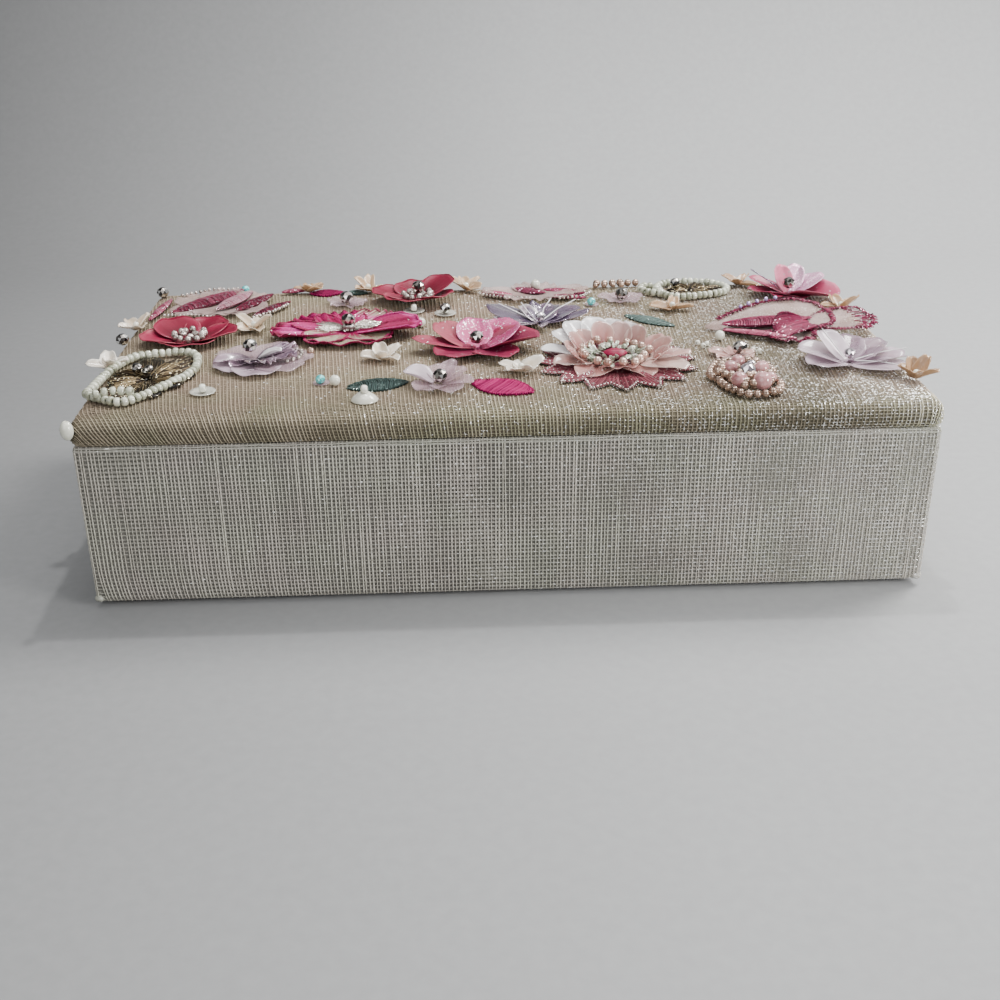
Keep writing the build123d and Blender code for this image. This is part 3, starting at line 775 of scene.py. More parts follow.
def thread_material(name, dark, light, glint_left, glint_right, sides, edge_painted_shade=1.0, cast_share=0.35):
    """Spun thread with slow changes of tone and metal glints, lighter to the right as painted light, with the
    glints more frequent there, also painted light. On the lid, painted shade darkens the edge band and the
    front.
    """
    shader = Shader(name, roughness=0.55, specular_ior_level=0.3)
    tone = shader.ramp(shader.noise(0.7, detail=3), [(0.3, dark), (0.7, light)])
    tone = shader.shaded(cast_share, tone, shader.noise(14.0, detail=1), thread_cast)
    # Painted light: the tone ramps up towards the right, where the light comes from.
    tone = shader.shaded(1.0, tone, shader.across("X", -wall_half_x, wall_half_x), sides)
    # Painted shade: darker down the lid's front edge band, which lies out of the light.
    if edge_painted_shade < 1:
        edge = shader.across("Z", lid_top - edge_shade_low, lid_top - edge_shade_high)
        tone = shader.shaded(1.0, tone, edge, [(0.0, edge_painted_shade), (1.0, 1.0)])
        # Painted shade: the lid's threads darker along its front, yellower there and rosier behind.
        front = shader.across("Y", -lid_half_y, -lid_half_y + front_shade_reach)
        tone = shader.shaded(1.0, tone, front, lid_front_painted_shade)
    # The glints are metal specks of the thread; their share rising towards the right is painted light.
    rise = shader.math("POWER", shader.across("X", -wall_half_x, wall_half_x), painted_glint_rise)
    glint = shader.specks(glint_size, shader.math("MULTIPLY_ADD", rise, glint_right - glint_left, glint_left))
    shader.link(shader.mix(glint, tone, (0.93, 0.92, 0.88)), "Base Color")
    shader.link(shader.math("MULTIPLY", glint, 0.8), "Metallic")
    shader.link(shader.span(glint, 0.6, 0.25), "Roughness")
    return shader.material


def ground_material(name, dark, light, sides, edge_painted_shade=1.0, back_painted_light=None):
    """The close cloth under the open mesh, lighter to the right as painted light. Its last argument is a
    painted light towards the back of the lid, and on the lid painted shade darkens the edge band.
    """
    shader = Shader(name, roughness=0.9, specular_ior_level=0.2)
    weave = shader.noise(0.35, detail=2)
    tone = shader.ramp(weave, [(0.3, dark), (0.7, light)])
    if back_painted_light:
        # Painted light: the ground lightens towards the back of the lid, as light comes through the mesh
        # there; rosy patches of the cloth's own colour come in with it.
        back = shader.across("Y", -lid_half_y + back_painted_light_start, -lid_half_y + front_shade_reach)
        back = shader.ramp(back, [(0.0, 0.0), (0.35, 0.45), (1.0, 1.0)])
        tone = shader.mix(back, tone, back_painted_light)
        rosy = shader.shaded(1.0, tone, shader.noise(26.0, detail=1), rosy_cast)
        tone = shader.mix(back, tone, rosy)
    tone = shader.shaded(0.45, tone, shader.noise(20.0, detail=2), ground_cast)
    # Painted light: the tone ramps up towards the right, where the light comes from.
    tone = shader.shaded(1.0, tone, shader.across("X", -wall_half_x, wall_half_x), sides)
    # Painted shade: darker down the lid's front edge band, which lies out of the light.
    if edge_painted_shade < 1:
        edge = shader.across("Z", lid_top - ground_shade_low, lid_top - ground_shade_high)
        tone = shader.shaded(1.0, tone, edge, [(0.0, edge_painted_shade), (1.0, 1.0)])
    shader.link(tone, "Base Color")
    shader.bump(weave, 0.06)
    return shader.material


# Tones of the cloth. Those called sides run from the box's left end to its right end: painted light and
# shade, lighter towards the right where the light comes from, with a painted reflection at the lid's right
# front corner.
# Painted shade: depths under the lid's top between which its edge band darkens.
edge_shade_low = 2.6
edge_shade_high = 0.8
ground_shade_low = 2.4
ground_shade_high = 0.7
front_shade_reach = 34.0
# Painted light: where the lid's ground starts to lighten towards the back.
back_painted_light_start = 8.0
glint_size = 0.42
# Painted light: how steeply the share of thread glints rises towards the right.
painted_glint_rise = 2.5
thread_cast = [(0.35, (1.0, 0.90, 0.89)), (0.65, (0.93, 1.0, 0.85))]
ground_cast = [(0.3, (1.0, 0.90, 0.88)), (0.7, (0.95, 1.0, 0.85))]
rosy_cast = [(0.45, (1.0, 1.0, 0.96)), (0.62, (1.0, 0.80, 0.81))]
# Painted shade for the lid's threads: darker along the front, yellower there and rosier behind.
lid_front_painted_shade = [(0.0, (0.92, 0.93, 0.90)), (0.3, (0.84, 0.78, 0.77)), (1.0, (1.0, 0.92, 0.93))]
wall_ground_painted_light = [(0.0, 0.44), (0.45, 0.31), (0.72, 0.48), (1.0, 1.0)]
wall_thread_painted_light = [(0.0, 0.82), (0.5, 0.92), (1.0, 1.0)]
lid_ground_painted_light = [
    (0.0, (0.95, 0.90, 0.83)), (0.5, (1.0, 0.93, 0.86)), (0.85, (0.86, 0.81, 0.74)), (1.0, (1.0, 0.98, 0.96)),
]
lid_thread_painted_light = [
    (0.0, (0.44, 0.42, 0.38)), (0.5, (0.52, 0.495, 0.45)), (0.70, (0.44, 0.42, 0.38)),
    (0.86, (0.32, 0.305, 0.28)), (0.94, (0.62, 0.60, 0.565)), (1.0, (0.94, 0.92, 0.90)),
]
warp_material = thread_material("Warp thread", (0.50, 0.475, 0.41), (0.80, 0.77, 0.70), 0.0, 0.26,
                                wall_thread_painted_light)
weft_material = thread_material("Weft thread", (0.25, 0.238, 0.215), (0.42, 0.405, 0.37), 0.0, 0.30,
                                wall_thread_painted_light)
lid_warp_material = thread_material("Lid warp thread", (0.60, 0.56, 0.45), (0.89, 0.84, 0.72), 0.0, 0.34,
                                    lid_thread_painted_light, edge_painted_shade=0.98, cast_share=0.6)
lid_weft_material = thread_material("Lid weft thread", (0.50, 0.46, 0.36), (0.78, 0.73, 0.61), 0.0, 0.34,
                                    lid_thread_painted_light, edge_painted_shade=0.68, cast_share=0.6)
wall_ground_material = ground_material("Wall ground cloth", (0.27, 0.262, 0.24), (0.54, 0.525, 0.49),
                                       wall_ground_painted_light)
lid_ground_material = ground_material("Lid ground cloth", (0.155, 0.143, 0.112), (0.25, 0.232, 0.185),
                                      lid_ground_painted_light, edge_painted_shade=0.60, back_painted_light=(0.42, 0.38, 0.34))
hem_material = thread_material("Cloth hem", (0.38, 0.375, 0.33), (0.60, 0.59, 0.53), 0.02, 0.20,
                               wall_thread_painted_light)


def satin_cloth(name, dark, light, rib=0.35):
    """Smooth satin with a soft sheen and a fine grain of floats."""
    shader = Shader(name, roughness=0.42, sheen_weight=0.35, sheen_roughness=0.4)
    floats = shader.noise(rib, detail=2, stretch=(0.25, 1, 1))
    tone = shader.ramp(shader.noise(16.0, detail=2), [(0.3, dark), (0.7, light)])
    streaks = shader.noise(1.6, detail=3, stretch=(0.06, 1, 1))
    tone = shader.shaded(0.5, tone, floats, [(0.3, 0.84), (0.7, 1.0)])
    tone = shader.shaded(0.8, tone, streaks, [(0.3, (0.86, 0.85, 0.83)), (0.65, 1.0)])
    shader.link(tone, "Base Color")
    shader.link(shader.span(streaks, 0.30, 0.50), "Roughness")
    shader.bump(floats, 0.05)
    return shader.material


def fibre_board(name, dark, light, grain=0.6, rough=0.85):
    """Pressed paper board: flecks in a cloudy ground."""
    shader = Shader(name, roughness=rough)
    fleck = shader.noise(grain, detail=4, roughness=0.7)
    tone = shader.ramp(fleck, [(0.35, dark), (0.65, light)])
    tone = shader.shaded(0.5, tone, shader.noise(9.0, detail=2), [(0.3, 0.9), (0.7, 1.0)])
    shader.link(tone, "Base Color")
    shader.bump(fleck, 0.08)
    return shader.material


def brushed_metal(name, dark, light):
    """Plated metal with fine scratches along it."""
    shader = Shader(name, roughness=0.3, metallic=1.0)
    scratch = shader.noise(0.25, detail=3, stretch=(0.08, 1, 1))
    shader.link(shader.ramp(scratch, [(0.3, dark), (0.7, light)]), "Base Color")
    shader.link(shader.span(scratch, 0.22, 0.42), "Roughness")
    shader.bump(scratch, 0.01)
    return shader.material


satin_material = satin_cloth("Lining satin", (0.61, 0.54, 0.44), (0.66, 0.59, 0.49))
panel_material = satin_cloth("Bottom panel cloth", (0.12, 0.105, 0.085), (0.18, 0.16, 0.135), rib=0.6)
hinge_material = satin_cloth("Hinge cloth", (0.50, 0.44, 0.36), (0.62, 0.56, 0.47), rib=0.5)
wadding_material = fibre_board("Wadding", (0.66, 0.66, 0.64), (0.86, 0.86, 0.84), grain=1.4, rough=0.95)
greyboard_material = fibre_board("Greyboard", (0.26, 0.25, 0.235), (0.40, 0.385, 0.36))
card_material = fibre_board("Card", (0.58, 0.55, 0.49), (0.72, 0.69, 0.63), grain=0.4)
nickel_material = brushed_metal("Nickel plate", (0.52, 0.51, 0.48), (0.74, 0.73, 0.70))
steel_material = brushed_metal("Keeper steel", (0.36, 0.36, 0.37), (0.58, 0.58, 0.60))


# Cloth of the walls

def drift(random, rows, columns):
    """Slow changes over a grid, from about -1 to 1, as a loom's tension makes them."""
    i, j = np.meshgrid(np.arange(rows), np.arange(columns), indexing="ij")
    total = np.zeros((rows, columns))
    for _ in range(6):
        heading = random.uniform(0, 2 * pi)
        pace = random.uniform(0.04, 0.4)
        total += np.sin(pace * (cos(heading) * i + sin(heading) * j) + random.uniform(0, 2 * pi))
    return total / 3


def waver(random, rows, places, height, length):
    """Slow sideways waves, one for each thread, of that height and length."""
    return height * np.sin(places / length + random.uniform(0, 6.28, (rows, 1)))


def cloth_piece(name, form, material, part, body):
    """A form as a piece of the cover cloth of the walls or the lid."""
    made = Gathered()
    made.add(form)
    return made.piece(name, [material], [f"{part}_cover_cloth"], f"{part}_cloth", body)


def wall_piece(name, form, material):
    return cloth_piece(name, form, material, "wall", "base")


def lid_piece(name, form, material):
    return cloth_piece(name, form, material, "lid", "lid")


def wall_bend(round_distance, up_distance):
    """Sideways drift of the walls' upright threads where the cloth was pulled round the left lower corner."""
    share = np.clip(1 - up_distance / bend_height, 0, 1) ** 2
    return bend_pull * share * np.clip(1 - round_distance / bend_reach, 0, 1)


def wall_threads():
    """Upright threads all round, and level ones that pass over and under them."""
    way = wall_section[1][-1]
    columns = int(wall_way / warp_pitch) // 2 * 2
    rows = int(way / weft_pitch)
    up = np.linspace(0, way, rows)
    random = np.random.default_rng(3)

    spread, height = np.meshgrid(np.arange(columns) * wall_way / columns, up, indexing="ij")
    spread = spread + wall_bend(spread, height) + random.normal(0, 0.06, (columns, 1))
    spread = spread + waver(random, columns, height, 0.08, 9.0)
    points, normals = wall_surface(spread, height, thread_base + crossing * (1 + alternate(columns, rows)))
    widths = warp_width * random.uniform(0.8, 1.25, (columns, 1)) * (1 + 0.25 * drift(random, columns, rows))
    form = laid_threads(points, normals, np.ones((columns, rows), bool), widths, warp_stand)
    uprights = wall_piece("wall_mesh_upright_threads", form, warp_material)

    spread, height = np.meshgrid(np.arange(columns + 1) * wall_way / columns, up)
    height = height + random.normal(0, 0.05, (rows, 1))
    lift = thread_base + crossing * (1 - alternate(rows, columns + 1))
    points, normals = wall_surface(spread, height, lift)
    widths = weft_width * random.uniform(0.85, 1.15, (rows, 1))
    widths = widths * (1 + 0.30 * drift(random, rows, columns + 1))
    form = laid_threads(points, normals, np.ones((rows, columns + 1), bool), widths, weft_stand)
    return [uprights, wall_piece("wall_mesh_level_threads", form, weft_material)]


def wall_ground(threads):
    """The close cloth under the walls' mesh, all the way round and over both edges."""
    way = wall_section[1][-1]
    up = np.unique(np.concatenate([wall_section[1][::3], [way], np.linspace(0, way, 24)]))
    ring = [np.arange(0, wall_way, 3.0)]
    start = 0.0
    corner = wall_corner_radius * pi / 2
    for half in [wall_half_x, wall_half_y] * 2:
        start += 2 * (half - wall_corner_radius)
        ring.append(np.mod(np.linspace(start, start + corner, 6), wall_way))
        start += corner
    ring = np.unique(np.concatenate(ring))
    points, _ = wall_surface(*np.meshgrid(ring, up), np.zeros((len(up), len(ring))))
    form = (points.reshape(-1, 3), [grid_faces(len(up), len(ring), wrap=True)])
    cloth = wall_piece("wall_ground_cloth", form, wall_ground_material)


def corner_folds():
    """Where the cloth's spare width is folded away under each lower corner, it pokes out a little."""
    rows, columns = 9, 18
    up = np.linspace(0.02, pi - 0.02, rows)[:, None]
    turn = np.linspace(0, 2 * pi, columns, endpoint=False)[None, :]
    reach = fold_size * np.sin(up) * (1 + 0.10 * np.cos(5 * turn))
    height = np.broadcast_to(fold_height / 2 * np.cos(up), reach.shape)
    shape = np.stack([reach * np.cos(turn), reach * np.sin(turn), height], axis=-1)
    inset = fold_size - fold_poke
    level = wall_bottom + fold_height / 2 + 0.1
    points, faces = [], []
    for side_x in (-1, 1):
        for side_y in (-1, 1):
            middle = (side_x * (wall_half_x - inset), side_y * (wall_half_y - inset), level)
            faces.append(grid_faces(rows, columns, wrap=True)[:, ::-1] + len(points) * rows * columns)
            points.append((shape + middle).reshape(-1, 3))
    wall_piece("lower_corner_folds", (np.concatenate(points), faces), hem_material)


def wall_hem():
    """A turned edge just under the lid, where the mesh lies double."""
    section, lengths = wall_section
    outside = section[:, 0] < 1.0
    top = np.interp(wall_top - wall_edge_radius, section[:, 1][outside], lengths[outside])
    count = int(wall_way / warp_pitch) // 2 * 4
    ring = np.linspace(0, wall_way, count)
    up = np.array([[top + wall_edge_radius - drop] for drop in hem_drops])
    height = up + 0.07 * np.sin(ring / 5.0)[None, :] + 0.05 * np.sin(ring / 1.7 + 1.0)[None, :]
    lift = thread_base + 0.10 + 0.05 * alternate(len(up), count)
    points, normals = wall_surface(np.broadcast_to(ring, height.shape), height, lift)
    widths = hem_thread_width * (1 + 0.3 * drift(np.random.default_rng(9), len(up), count))
    form = laid_threads(points, normals, np.ones(height.shape, bool), widths, thread_stand * 0.6)
    wall_piece("wall_top_hem", form, hem_material)


# Cloth of the lid

def lid_skew(x):
    """How far the lid's upright threads lean: inwards at the left, a little outwards at the right."""
    share = np.clip((lid_half_x - x) / (2 * lid_half_x), 0, 1)
    return left_lean * share**2 - right_lean * (1 - share)


def lid_pull(x, t):
    """How far the threads slant where the cloth was pulled down over the edge, most at the left corner."""
    total = 0
    for side in (-1, 1):
        over = np.maximum(0, side * t - lid_inner_y + pull_before_edge)
        total = total - side * np.where(over < pull_ease, over**2 / (2 * pull_ease), over - pull_ease / 2)
    share = np.clip((lid_half_x - x) / (2 * lid_half_x), 0, 1)
    return (pull_slope * share + corner_pull_slope * np.exp(-(x + lid_half_x) / corner_pull_reach)) * total


def lid_threads():
    """Threads along the lid's depth, askew near the left corner, and threads along its length."""
    random = np.random.default_rng(5)
    reach_s = lid_inner_x + lid_reach
    reach_t = lid_inner_y + lid_reach
    rows = int(2 * reach_t / lid_weft_pitch)
    ts = np.linspace(-reach_t, reach_t, rows)[None, :]

    lean = lid_skew(-lid_half_x) * reach_t + np.max(lid_pull(-lid_half_x, -reach_t))
    count = int(2 * (reach_s + lean) / lid_warp_pitch)
    middles = np.linspace(-reach_s - lean, reach_s + lean, count)[:, None]
    s = middles - lid_skew(middles) * ts + waver(random, count, ts, 0.12, 11.0)
    s = s + random.normal(0, 0.05, (count, 1)) + lid_pull(middles, ts)
    lift = thread_base + crossing * (1 + alternate(count, rows))
    points, normals, inside = lid_surface(s, np.broadcast_to(ts, s.shape), lift)
    widths = lid_warp_width * random.uniform(0.8, 1.25, (count, 1)) * (1 + 0.25 * drift(random, count, rows))
    form = laid_threads(points, normals, inside, widths, warp_stand)
    depths = lid_piece("lid_mesh_depth_threads", form, lid_warp_material)

    columns = int(2 * reach_s / lid_warp_pitch)
    ss = np.linspace(-reach_s, reach_s, columns)[None, :]
    t = ts.T + random.normal(0, 0.04, (rows, 1)) + waver(random, rows, ss, 0.1, 17.0)
    lift = thread_base + crossing * (1 - alternate(rows, columns))
    points, normals, inside = lid_surface(np.broadcast_to(ss, t.shape), t, lift)
    widths = lid_weft_width * random.uniform(0.85, 1.15, (rows, 1))
    widths = widths * (1 + 0.35 * drift(random, rows, columns))
    form = laid_threads(points, normals, inside, widths, weft_stand)
    return [depths, lid_piece("lid_mesh_length_threads", form, lid_weft_material)]


def lid_ground(threads):
    """The close cloth under the lid's mesh: its flat top, then rings down its edge and in beneath."""
    away = np.unique(np.concatenate([lid_section[1][::3], [lid_reach]]))
    top_columns, top_rows, corner_steps = 41, 21, 7
    corners = [(lid_inner_x, -lid_inner_y), (lid_inner_x, lid_inner_y), (-lid_inner_x, lid_inner_y),
               (-lid_inner_x, -lid_inner_y)]
    sides = []
    for number, corner in enumerate(corners):
        begin = (number - 1) * pi / 2
        for turn in np.linspace(0, pi / 2, corner_steps):
            sides.append((*corner, cos(begin + turn), sin(begin + turn)))
        count = top_columns if number % 2 else top_rows
        for place in np.linspace(corner, corners[(number + 1) % 4], count)[1:-1]:
            sides.append((*place, cos(begin + pi / 2), sin(begin + pi / 2)))
    sides = np.array(sides)
    s = sides[None, :, 0] + away[:, None] * sides[None, :, 2]
    t = sides[None, :, 1] + away[:, None] * sides[None, :, 3]
    edge, _, _ = lid_surface(s, t, np.zeros(s.shape))
    top_s, top_t = np.meshgrid(np.linspace(-lid_inner_x, lid_inner_x, top_columns),
                               np.linspace(-lid_inner_y, lid_inner_y, top_rows))
    top, _, _ = lid_surface(top_s, top_t, np.zeros(top_s.shape))
    points = np.concatenate([edge.reshape(-1, 3), top.reshape(-1, 3)])
    edge_faces = grid_faces(len(away), len(sides), wrap=True)
    top_faces = grid_faces(top_rows, top_columns) + len(away) * len(sides)
    cloth = lid_piece("lid_ground_cloth", welded(points, [edge_faces, top_faces]), lid_ground_material)


# Soft pieces and the hinge inside

def rounded_outline(half_x, half_y, radius, pull):
    """Points round a rounded rectangle whose sides are drawn in between its corners."""
    per_side, per_corner = 24, 6
    points = []
    for side_x, side_y, begin in ((1, -1, -pi / 2), (1, 1, 0.0), (-1, 1, pi / 2), (-1, -1, pi)):
        for k in range(per_corner + 1):
            angle = begin + pi / 2 * k / per_corner
            points.append((side_x * (half_x - radius) + radius * cos(angle),
                           side_y * (half_y - radius) + radius * sin(angle)))
    outline = []
    for here, there in zip(points, points[1:] + points[:1]):
        run = hypot(there[0] - here[0], there[1] - here[1])
        steps = per_side if run > radius * 2 else 1
        for k in range(steps):
            share = k / steps
            outline.append([before + (after - before) * share for before, after in zip(here, there)])
    outline = np.array(outline)
    across_x = np.clip(np.abs(outline[:, 0]) / half_x, 0, 1)
    across_y = np.clip(np.abs(outline[:, 1]) / half_y, 0, 1)
    outline[:, 0] *= 1 - pull / half_x * (1 - across_y**2) * (across_x > 0.9)
    outline[:, 1] *= 1 - pull / half_y * (1 - across_x**2) * (across_y > 0.9)
    return outline


def pad_form(low, high, seam_share, radius=3.0, pull=0.5, crown=0.25, puckers=64, pucker_depth=0.4):
    """A closed pad: two crowned faces that meet in a seam, puckered along it."""
    middle = (low + high) / 2
    half = (high - low) / 2
    outline = rounded_outline(half[0], half[1], radius, pull)
    seam = low[2] + seam_share * (high[2] - low[2])
    shares = np.array([0.0, 0.25, 0.5, 0.7, 0.82, 0.90, 0.95, 0.98, 1.0])
    around = np.arange(len(outline)) / len(outline) * 2 * pi
    rings = []
    for face, height in ((1, high[2] - seam), (-1, seam - low[2])):
        for share in shares if face > 0 else shares[::-1][1:]:
            fullness = (1 - share**10) ** 0.5 * (1 - crown * share**2)
            pucker = pucker_depth * np.cos(puckers * around) * share**7 * (1 - share**40)
            z = seam + face * (height * fullness + np.minimum(pucker, height * 0.4))
            ring = np.column_stack([outline * max(share, 0.02), z * np.ones(len(outline))])
            rings.append(ring + (middle[0], middle[1], 0))
    grid = np.array(rings)
    rows, columns = grid.shape[:2]
    side = grid_faces(rows, columns, wrap=True)[:, ::-1]
    caps = [list(range(columns))], [list(range((rows - 1) * columns, rows * columns))[::-1]]
    return grid.reshape(-1, 3), [side, *caps]


def soft_pad(name, node, material, body, slot_name, fill, **shape):
    made = Gathered()
    made.add(pad_form(*box_mm(node), **shape))
    made.piece(name, [material], [node], slot_name, body)


def soft_pieces():
    soft_pad("floor_cushion_pad", "floor_cushion", satin_material, "base", "lining_satin", 0.5,
             seam_share=0.25)
    soft_pad("lid_lining_satin_pad", "lid_lining_pad", satin_material, "lid", "lining_satin", 0.4,
             seam_share=0.92)
    soft_pad("lid_wadding_sheet", "lid_wadding", wadding_material, "lid", "wadding", 0.3, seam_share=0.1,
             radius=lid_corner_radius - 1.0, pull=0.0)
    soft_pad("bottom_panel_covering", "bottom_panel_cloth", panel_material, "base", "panel_cloth", 0.2,
             seam_share=0.6, pull=0.0, puckers=0, pucker_depth=0.0, crown=0.05)


def hinge_strip():
    """One strip of cloth: glued down the wall, folded at the back edge, and glued under the lid."""
    wall_leaf_low, wall_leaf_high = box_mm("hinge_cloth_wall_leaf")
    lid_leaf_low, _ = box_mm("hinge_cloth_lid_leaf")
    half_length = wall_leaf_high[0]
    leaf_middle = wall_leaf_low[1] + hinge_leaf_inset
    joint_z = lid_leaf_low[2]
    fold = hinge_fold
    turn_y = wall_leaf_high[1] + fold
    path = [(leaf_middle, wall_leaf_low[2]), (leaf_middle, joint_z - 2 * fold - 0.4)]
    for angle in np.radians(np.linspace(180, 90, 5)):
        path.append((leaf_middle + fold + fold * cos(angle), joint_z - 2 * fold + fold * sin(angle)))
    for angle in np.radians(np.linspace(-90, 90, 9)):
        path.append((turn_y + fold * cos(angle), joint_z + fold * sin(angle)))
    path.append((lid_leaf_low[1], joint_z + fold))
    path = np.array(path)
    ahead = unit(np.gradient(path, axis=0))
    out = np.column_stack([-ahead[:, 1], ahead[:, 0]]) * hinge_thickness / 2
    loop = np.concatenate([path + out, (path - out)[::-1]])
    across = np.linspace(-half_length, half_length, 50)
    grid = np.array([[(x, y, z) for y, z in loop] for x in across])
    rows, columns = grid.shape[:2]
    ends = []
    for row, flip in ((0, 1), (rows - 1, -1)):
        base = row * columns
        for k in range(columns // 2 - 1):
            ends.append([base + k, base + k + 1, base + columns - 2 - k, base + columns - 1 - k][::flip])
    made = Gathered()
    made.add((grid.reshape(-1, 3), [grid_faces(rows, columns, wrap=True), ends]))
    leaves = ["hinge_cloth_wall_leaf", "hinge_cloth_lid_leaf"]
    strip = made.piece("hinge_cloth_strip", [hinge_material], leaves, "hinge_tape", None)
    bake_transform(strip)


def finish_frame_nodes():
    """Every frame piece that stays gets its own finish."""
    sides = ("front", "back", "left", "right")
    finishes = {
        greyboard_material: ["base_board", "lid_board", *(f"wall_board_{side}" for side in sides)],
        card_material: ["bottom_panel_card", "floor_lining_card", "lid_lining_card"],
        satin_material: [f"lining_panel_{side}" for side in sides],
        nickel_material: ["catch_magnets"],
        steel_material: ["lid_keepers"],
    }
    for material, names in finishes.items():
        for name in names:
            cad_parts[name].data.materials.clear()
            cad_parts[name].data.materials.append(material)


# Finishes of the ornament

def glass_material(name, dark, light, roughness=0.12, metallic=0.0):
    """Glass or pearl with a tone that differs from bead to bead and clouds a little within each."""
    shader = Shader(name, roughness=roughness, metallic=metallic, coat_weight=1.0, coat_roughness=0.05)
    tint = shader.math("MULTIPLY", shader.tint(), 0.4)
    factor = shader.math("MULTIPLY_ADD", shader.noise(1.1, detail=2), 0.7, tint)
    shader.link(shader.ramp(factor, [(0.25, dark), (0.8, light)]), "Base Color")
    shader.bump(shader.noise(0.7, detail=1), 0.05, 0.5)
    return shader.material


def film_material(name, stops, roughness, coat, grain, alpha=1.0, depth=0.05, gloss=0.5, flash=0.0):
    """A pressed sequin petal: tones that follow its tint, fine grain, soft gloss and some small flashes."""
    shader = Shader(name, roughness=roughness, alpha=alpha, coat_weight=coat, coat_roughness=0.12,
                    specular_ior_level=gloss)
    speckle = shader.noise(grain, detail=2)
    tone = shader.ramp(shader.varied_tint(shader.noise(5.0, detail=2), 0.45), stops)
    tone = shader.shaded(0.5, tone, speckle, [(0.3, 0.74), (0.7, 1.0)])
    rough = shader.span(speckle, roughness * 0.8, min(1.0, roughness * 1.3))
    if flash:
        spark = shader.specks(0.36, flash)
        tone = shader.mix(spark, tone, (1.0, 0.9, 0.95))
        shader.link(shader.math("MULTIPLY", spark, 0.7), "Metallic")
        rough = shader.math("MULTIPLY_ADD", spark, -0.5 * roughness, rough)
    shader.link(tone, "Base Color")
    shader.link(rough, "Roughness")
    shader.bump(speckle, depth)
    return shader.material


def foil_material(name, stops, grain=0.3, depth=0.12, metallic=0.25, flash=0.10):
    """A petal of embossed foil: crinkled, with many small flashes."""
    shader = Shader(name, roughness=0.3, coat_weight=0.2, coat_roughness=0.1)
    crinkle = shader.noise(grain, detail=3, roughness=0.6)
    tone = shader.ramp(shader.varied_tint(shader.noise(6.0, detail=1), 0.4), stops)
    tone = shader.shaded(0.6, tone, crinkle, [(0.35, 0.62), (0.65, 1.0)])
    spark = shader.specks(0.24, flash)
    shader.link(shader.mix(spark, tone, (1.0, 0.86, 0.92)), "Base Color")
    shader.link(shader.span(spark, metallic, 0.9), "Metallic")
    shader.link(shader.span(crinkle, 0.22, 0.5), "Roughness")
    shader.bump(crinkle, depth)
    return shader.material


def floss_material(name, stops, roughness=0.4, metallic=0.0, glint=0.0, glint_tone=(0.9, 0.85, 0.8),
                   gloss=0.3):
    """Embroidery floss coloured by its tint, with fine fibre and a few metal glints."""
    shader = Shader(name, roughness=roughness, metallic=metallic, specular_ior_level=gloss)
    fibre = shader.noise(0.4, detail=3)
    tone = shader.ramp(shader.varied_tint(fibre, 0.25), stops)
    tone = shader.shaded(0.6, tone, fibre, [(0.3, 0.65), (0.7, 1.0)])
    if glint:
        flash = shader.specks(0.36, glint)
        tone = shader.mix(flash, tone, glint_tone)
        shader.link(shader.span(flash, metallic, 0.9), "Metallic")
        shader.link(shader.span(flash, roughness, 0.2), "Roughness")
    shader.link(tone, "Base Color")
    return shader.material


def organza_material(name, dark, light, alpha):
    """Sheer cloth: a fine weave that lets part of the light through."""
    shader = Shader(name, roughness=0.45, sheen_weight=0.3)
    weave = shader.noise(0.3, detail=2)
    shader.link(shader.ramp(shader.noise(7.0, detail=2), [(0.35, dark), (0.65, light)]), "Base Color")
    shader.link(shader.span(weave, alpha - 0.2, alpha + 0.25), "Alpha")
    shader.bump(weave, 0.05)
    return shader.material


def iridescent_material(name, stops, alpha):
    """Clear film whose colour drifts from patch to patch; its highest tints run to near white, painted
    highlights where folds flash.
    """
    shader = Shader(name, roughness=0.08, alpha=alpha, coat_weight=1.0, coat_roughness=0.04, metallic=0.25)
    patches = shader.math("MULTIPLY", shader.noise(4.5, detail=2, stretch=(1, 2.2, 1)), 0.6)
    factor = shader.math("ADD", shader.math("MULTIPLY", shader.tint(), 0.5), patches)
    shader.link(shader.ramp(factor, stops), "Base Color")
    shader.bump(shader.noise(1.6, detail=2), 0.25)
    return shader.material


def cut_material(name, stops, metallic=1.0):
    """Cut glass over silver: each facet takes its own tint, from dark to flashing white, as a painted
    reflection.
    """
    shader = Shader(name, metallic=metallic, coat_weight=1.0, coat_roughness=0.03)
    cloud = shader.math("MULTIPLY", shader.noise(0.8, detail=1), 0.15)
    shader.link(shader.ramp(shader.math("ADD", shader.tint(), cloud), stops), "Base Color")
    shader.link(shader.span(shader.noise(1.3, detail=1), 0.08, 0.16), "Roughness")
    return shader.material


def metal_material(name, dark, light, roughness):
    """Plain metal, a little tarnished."""
    shader = Shader(name, metallic=1.0)
    tarnish = shader.noise(1.3, detail=2)
    shader.link(shader.ramp(tarnish, [(0.3, dark), (0.7, light)]), "Base Color")
    shader.link(shader.span(tarnish, roughness, roughness * 1.8), "Roughness")
    return shader.material


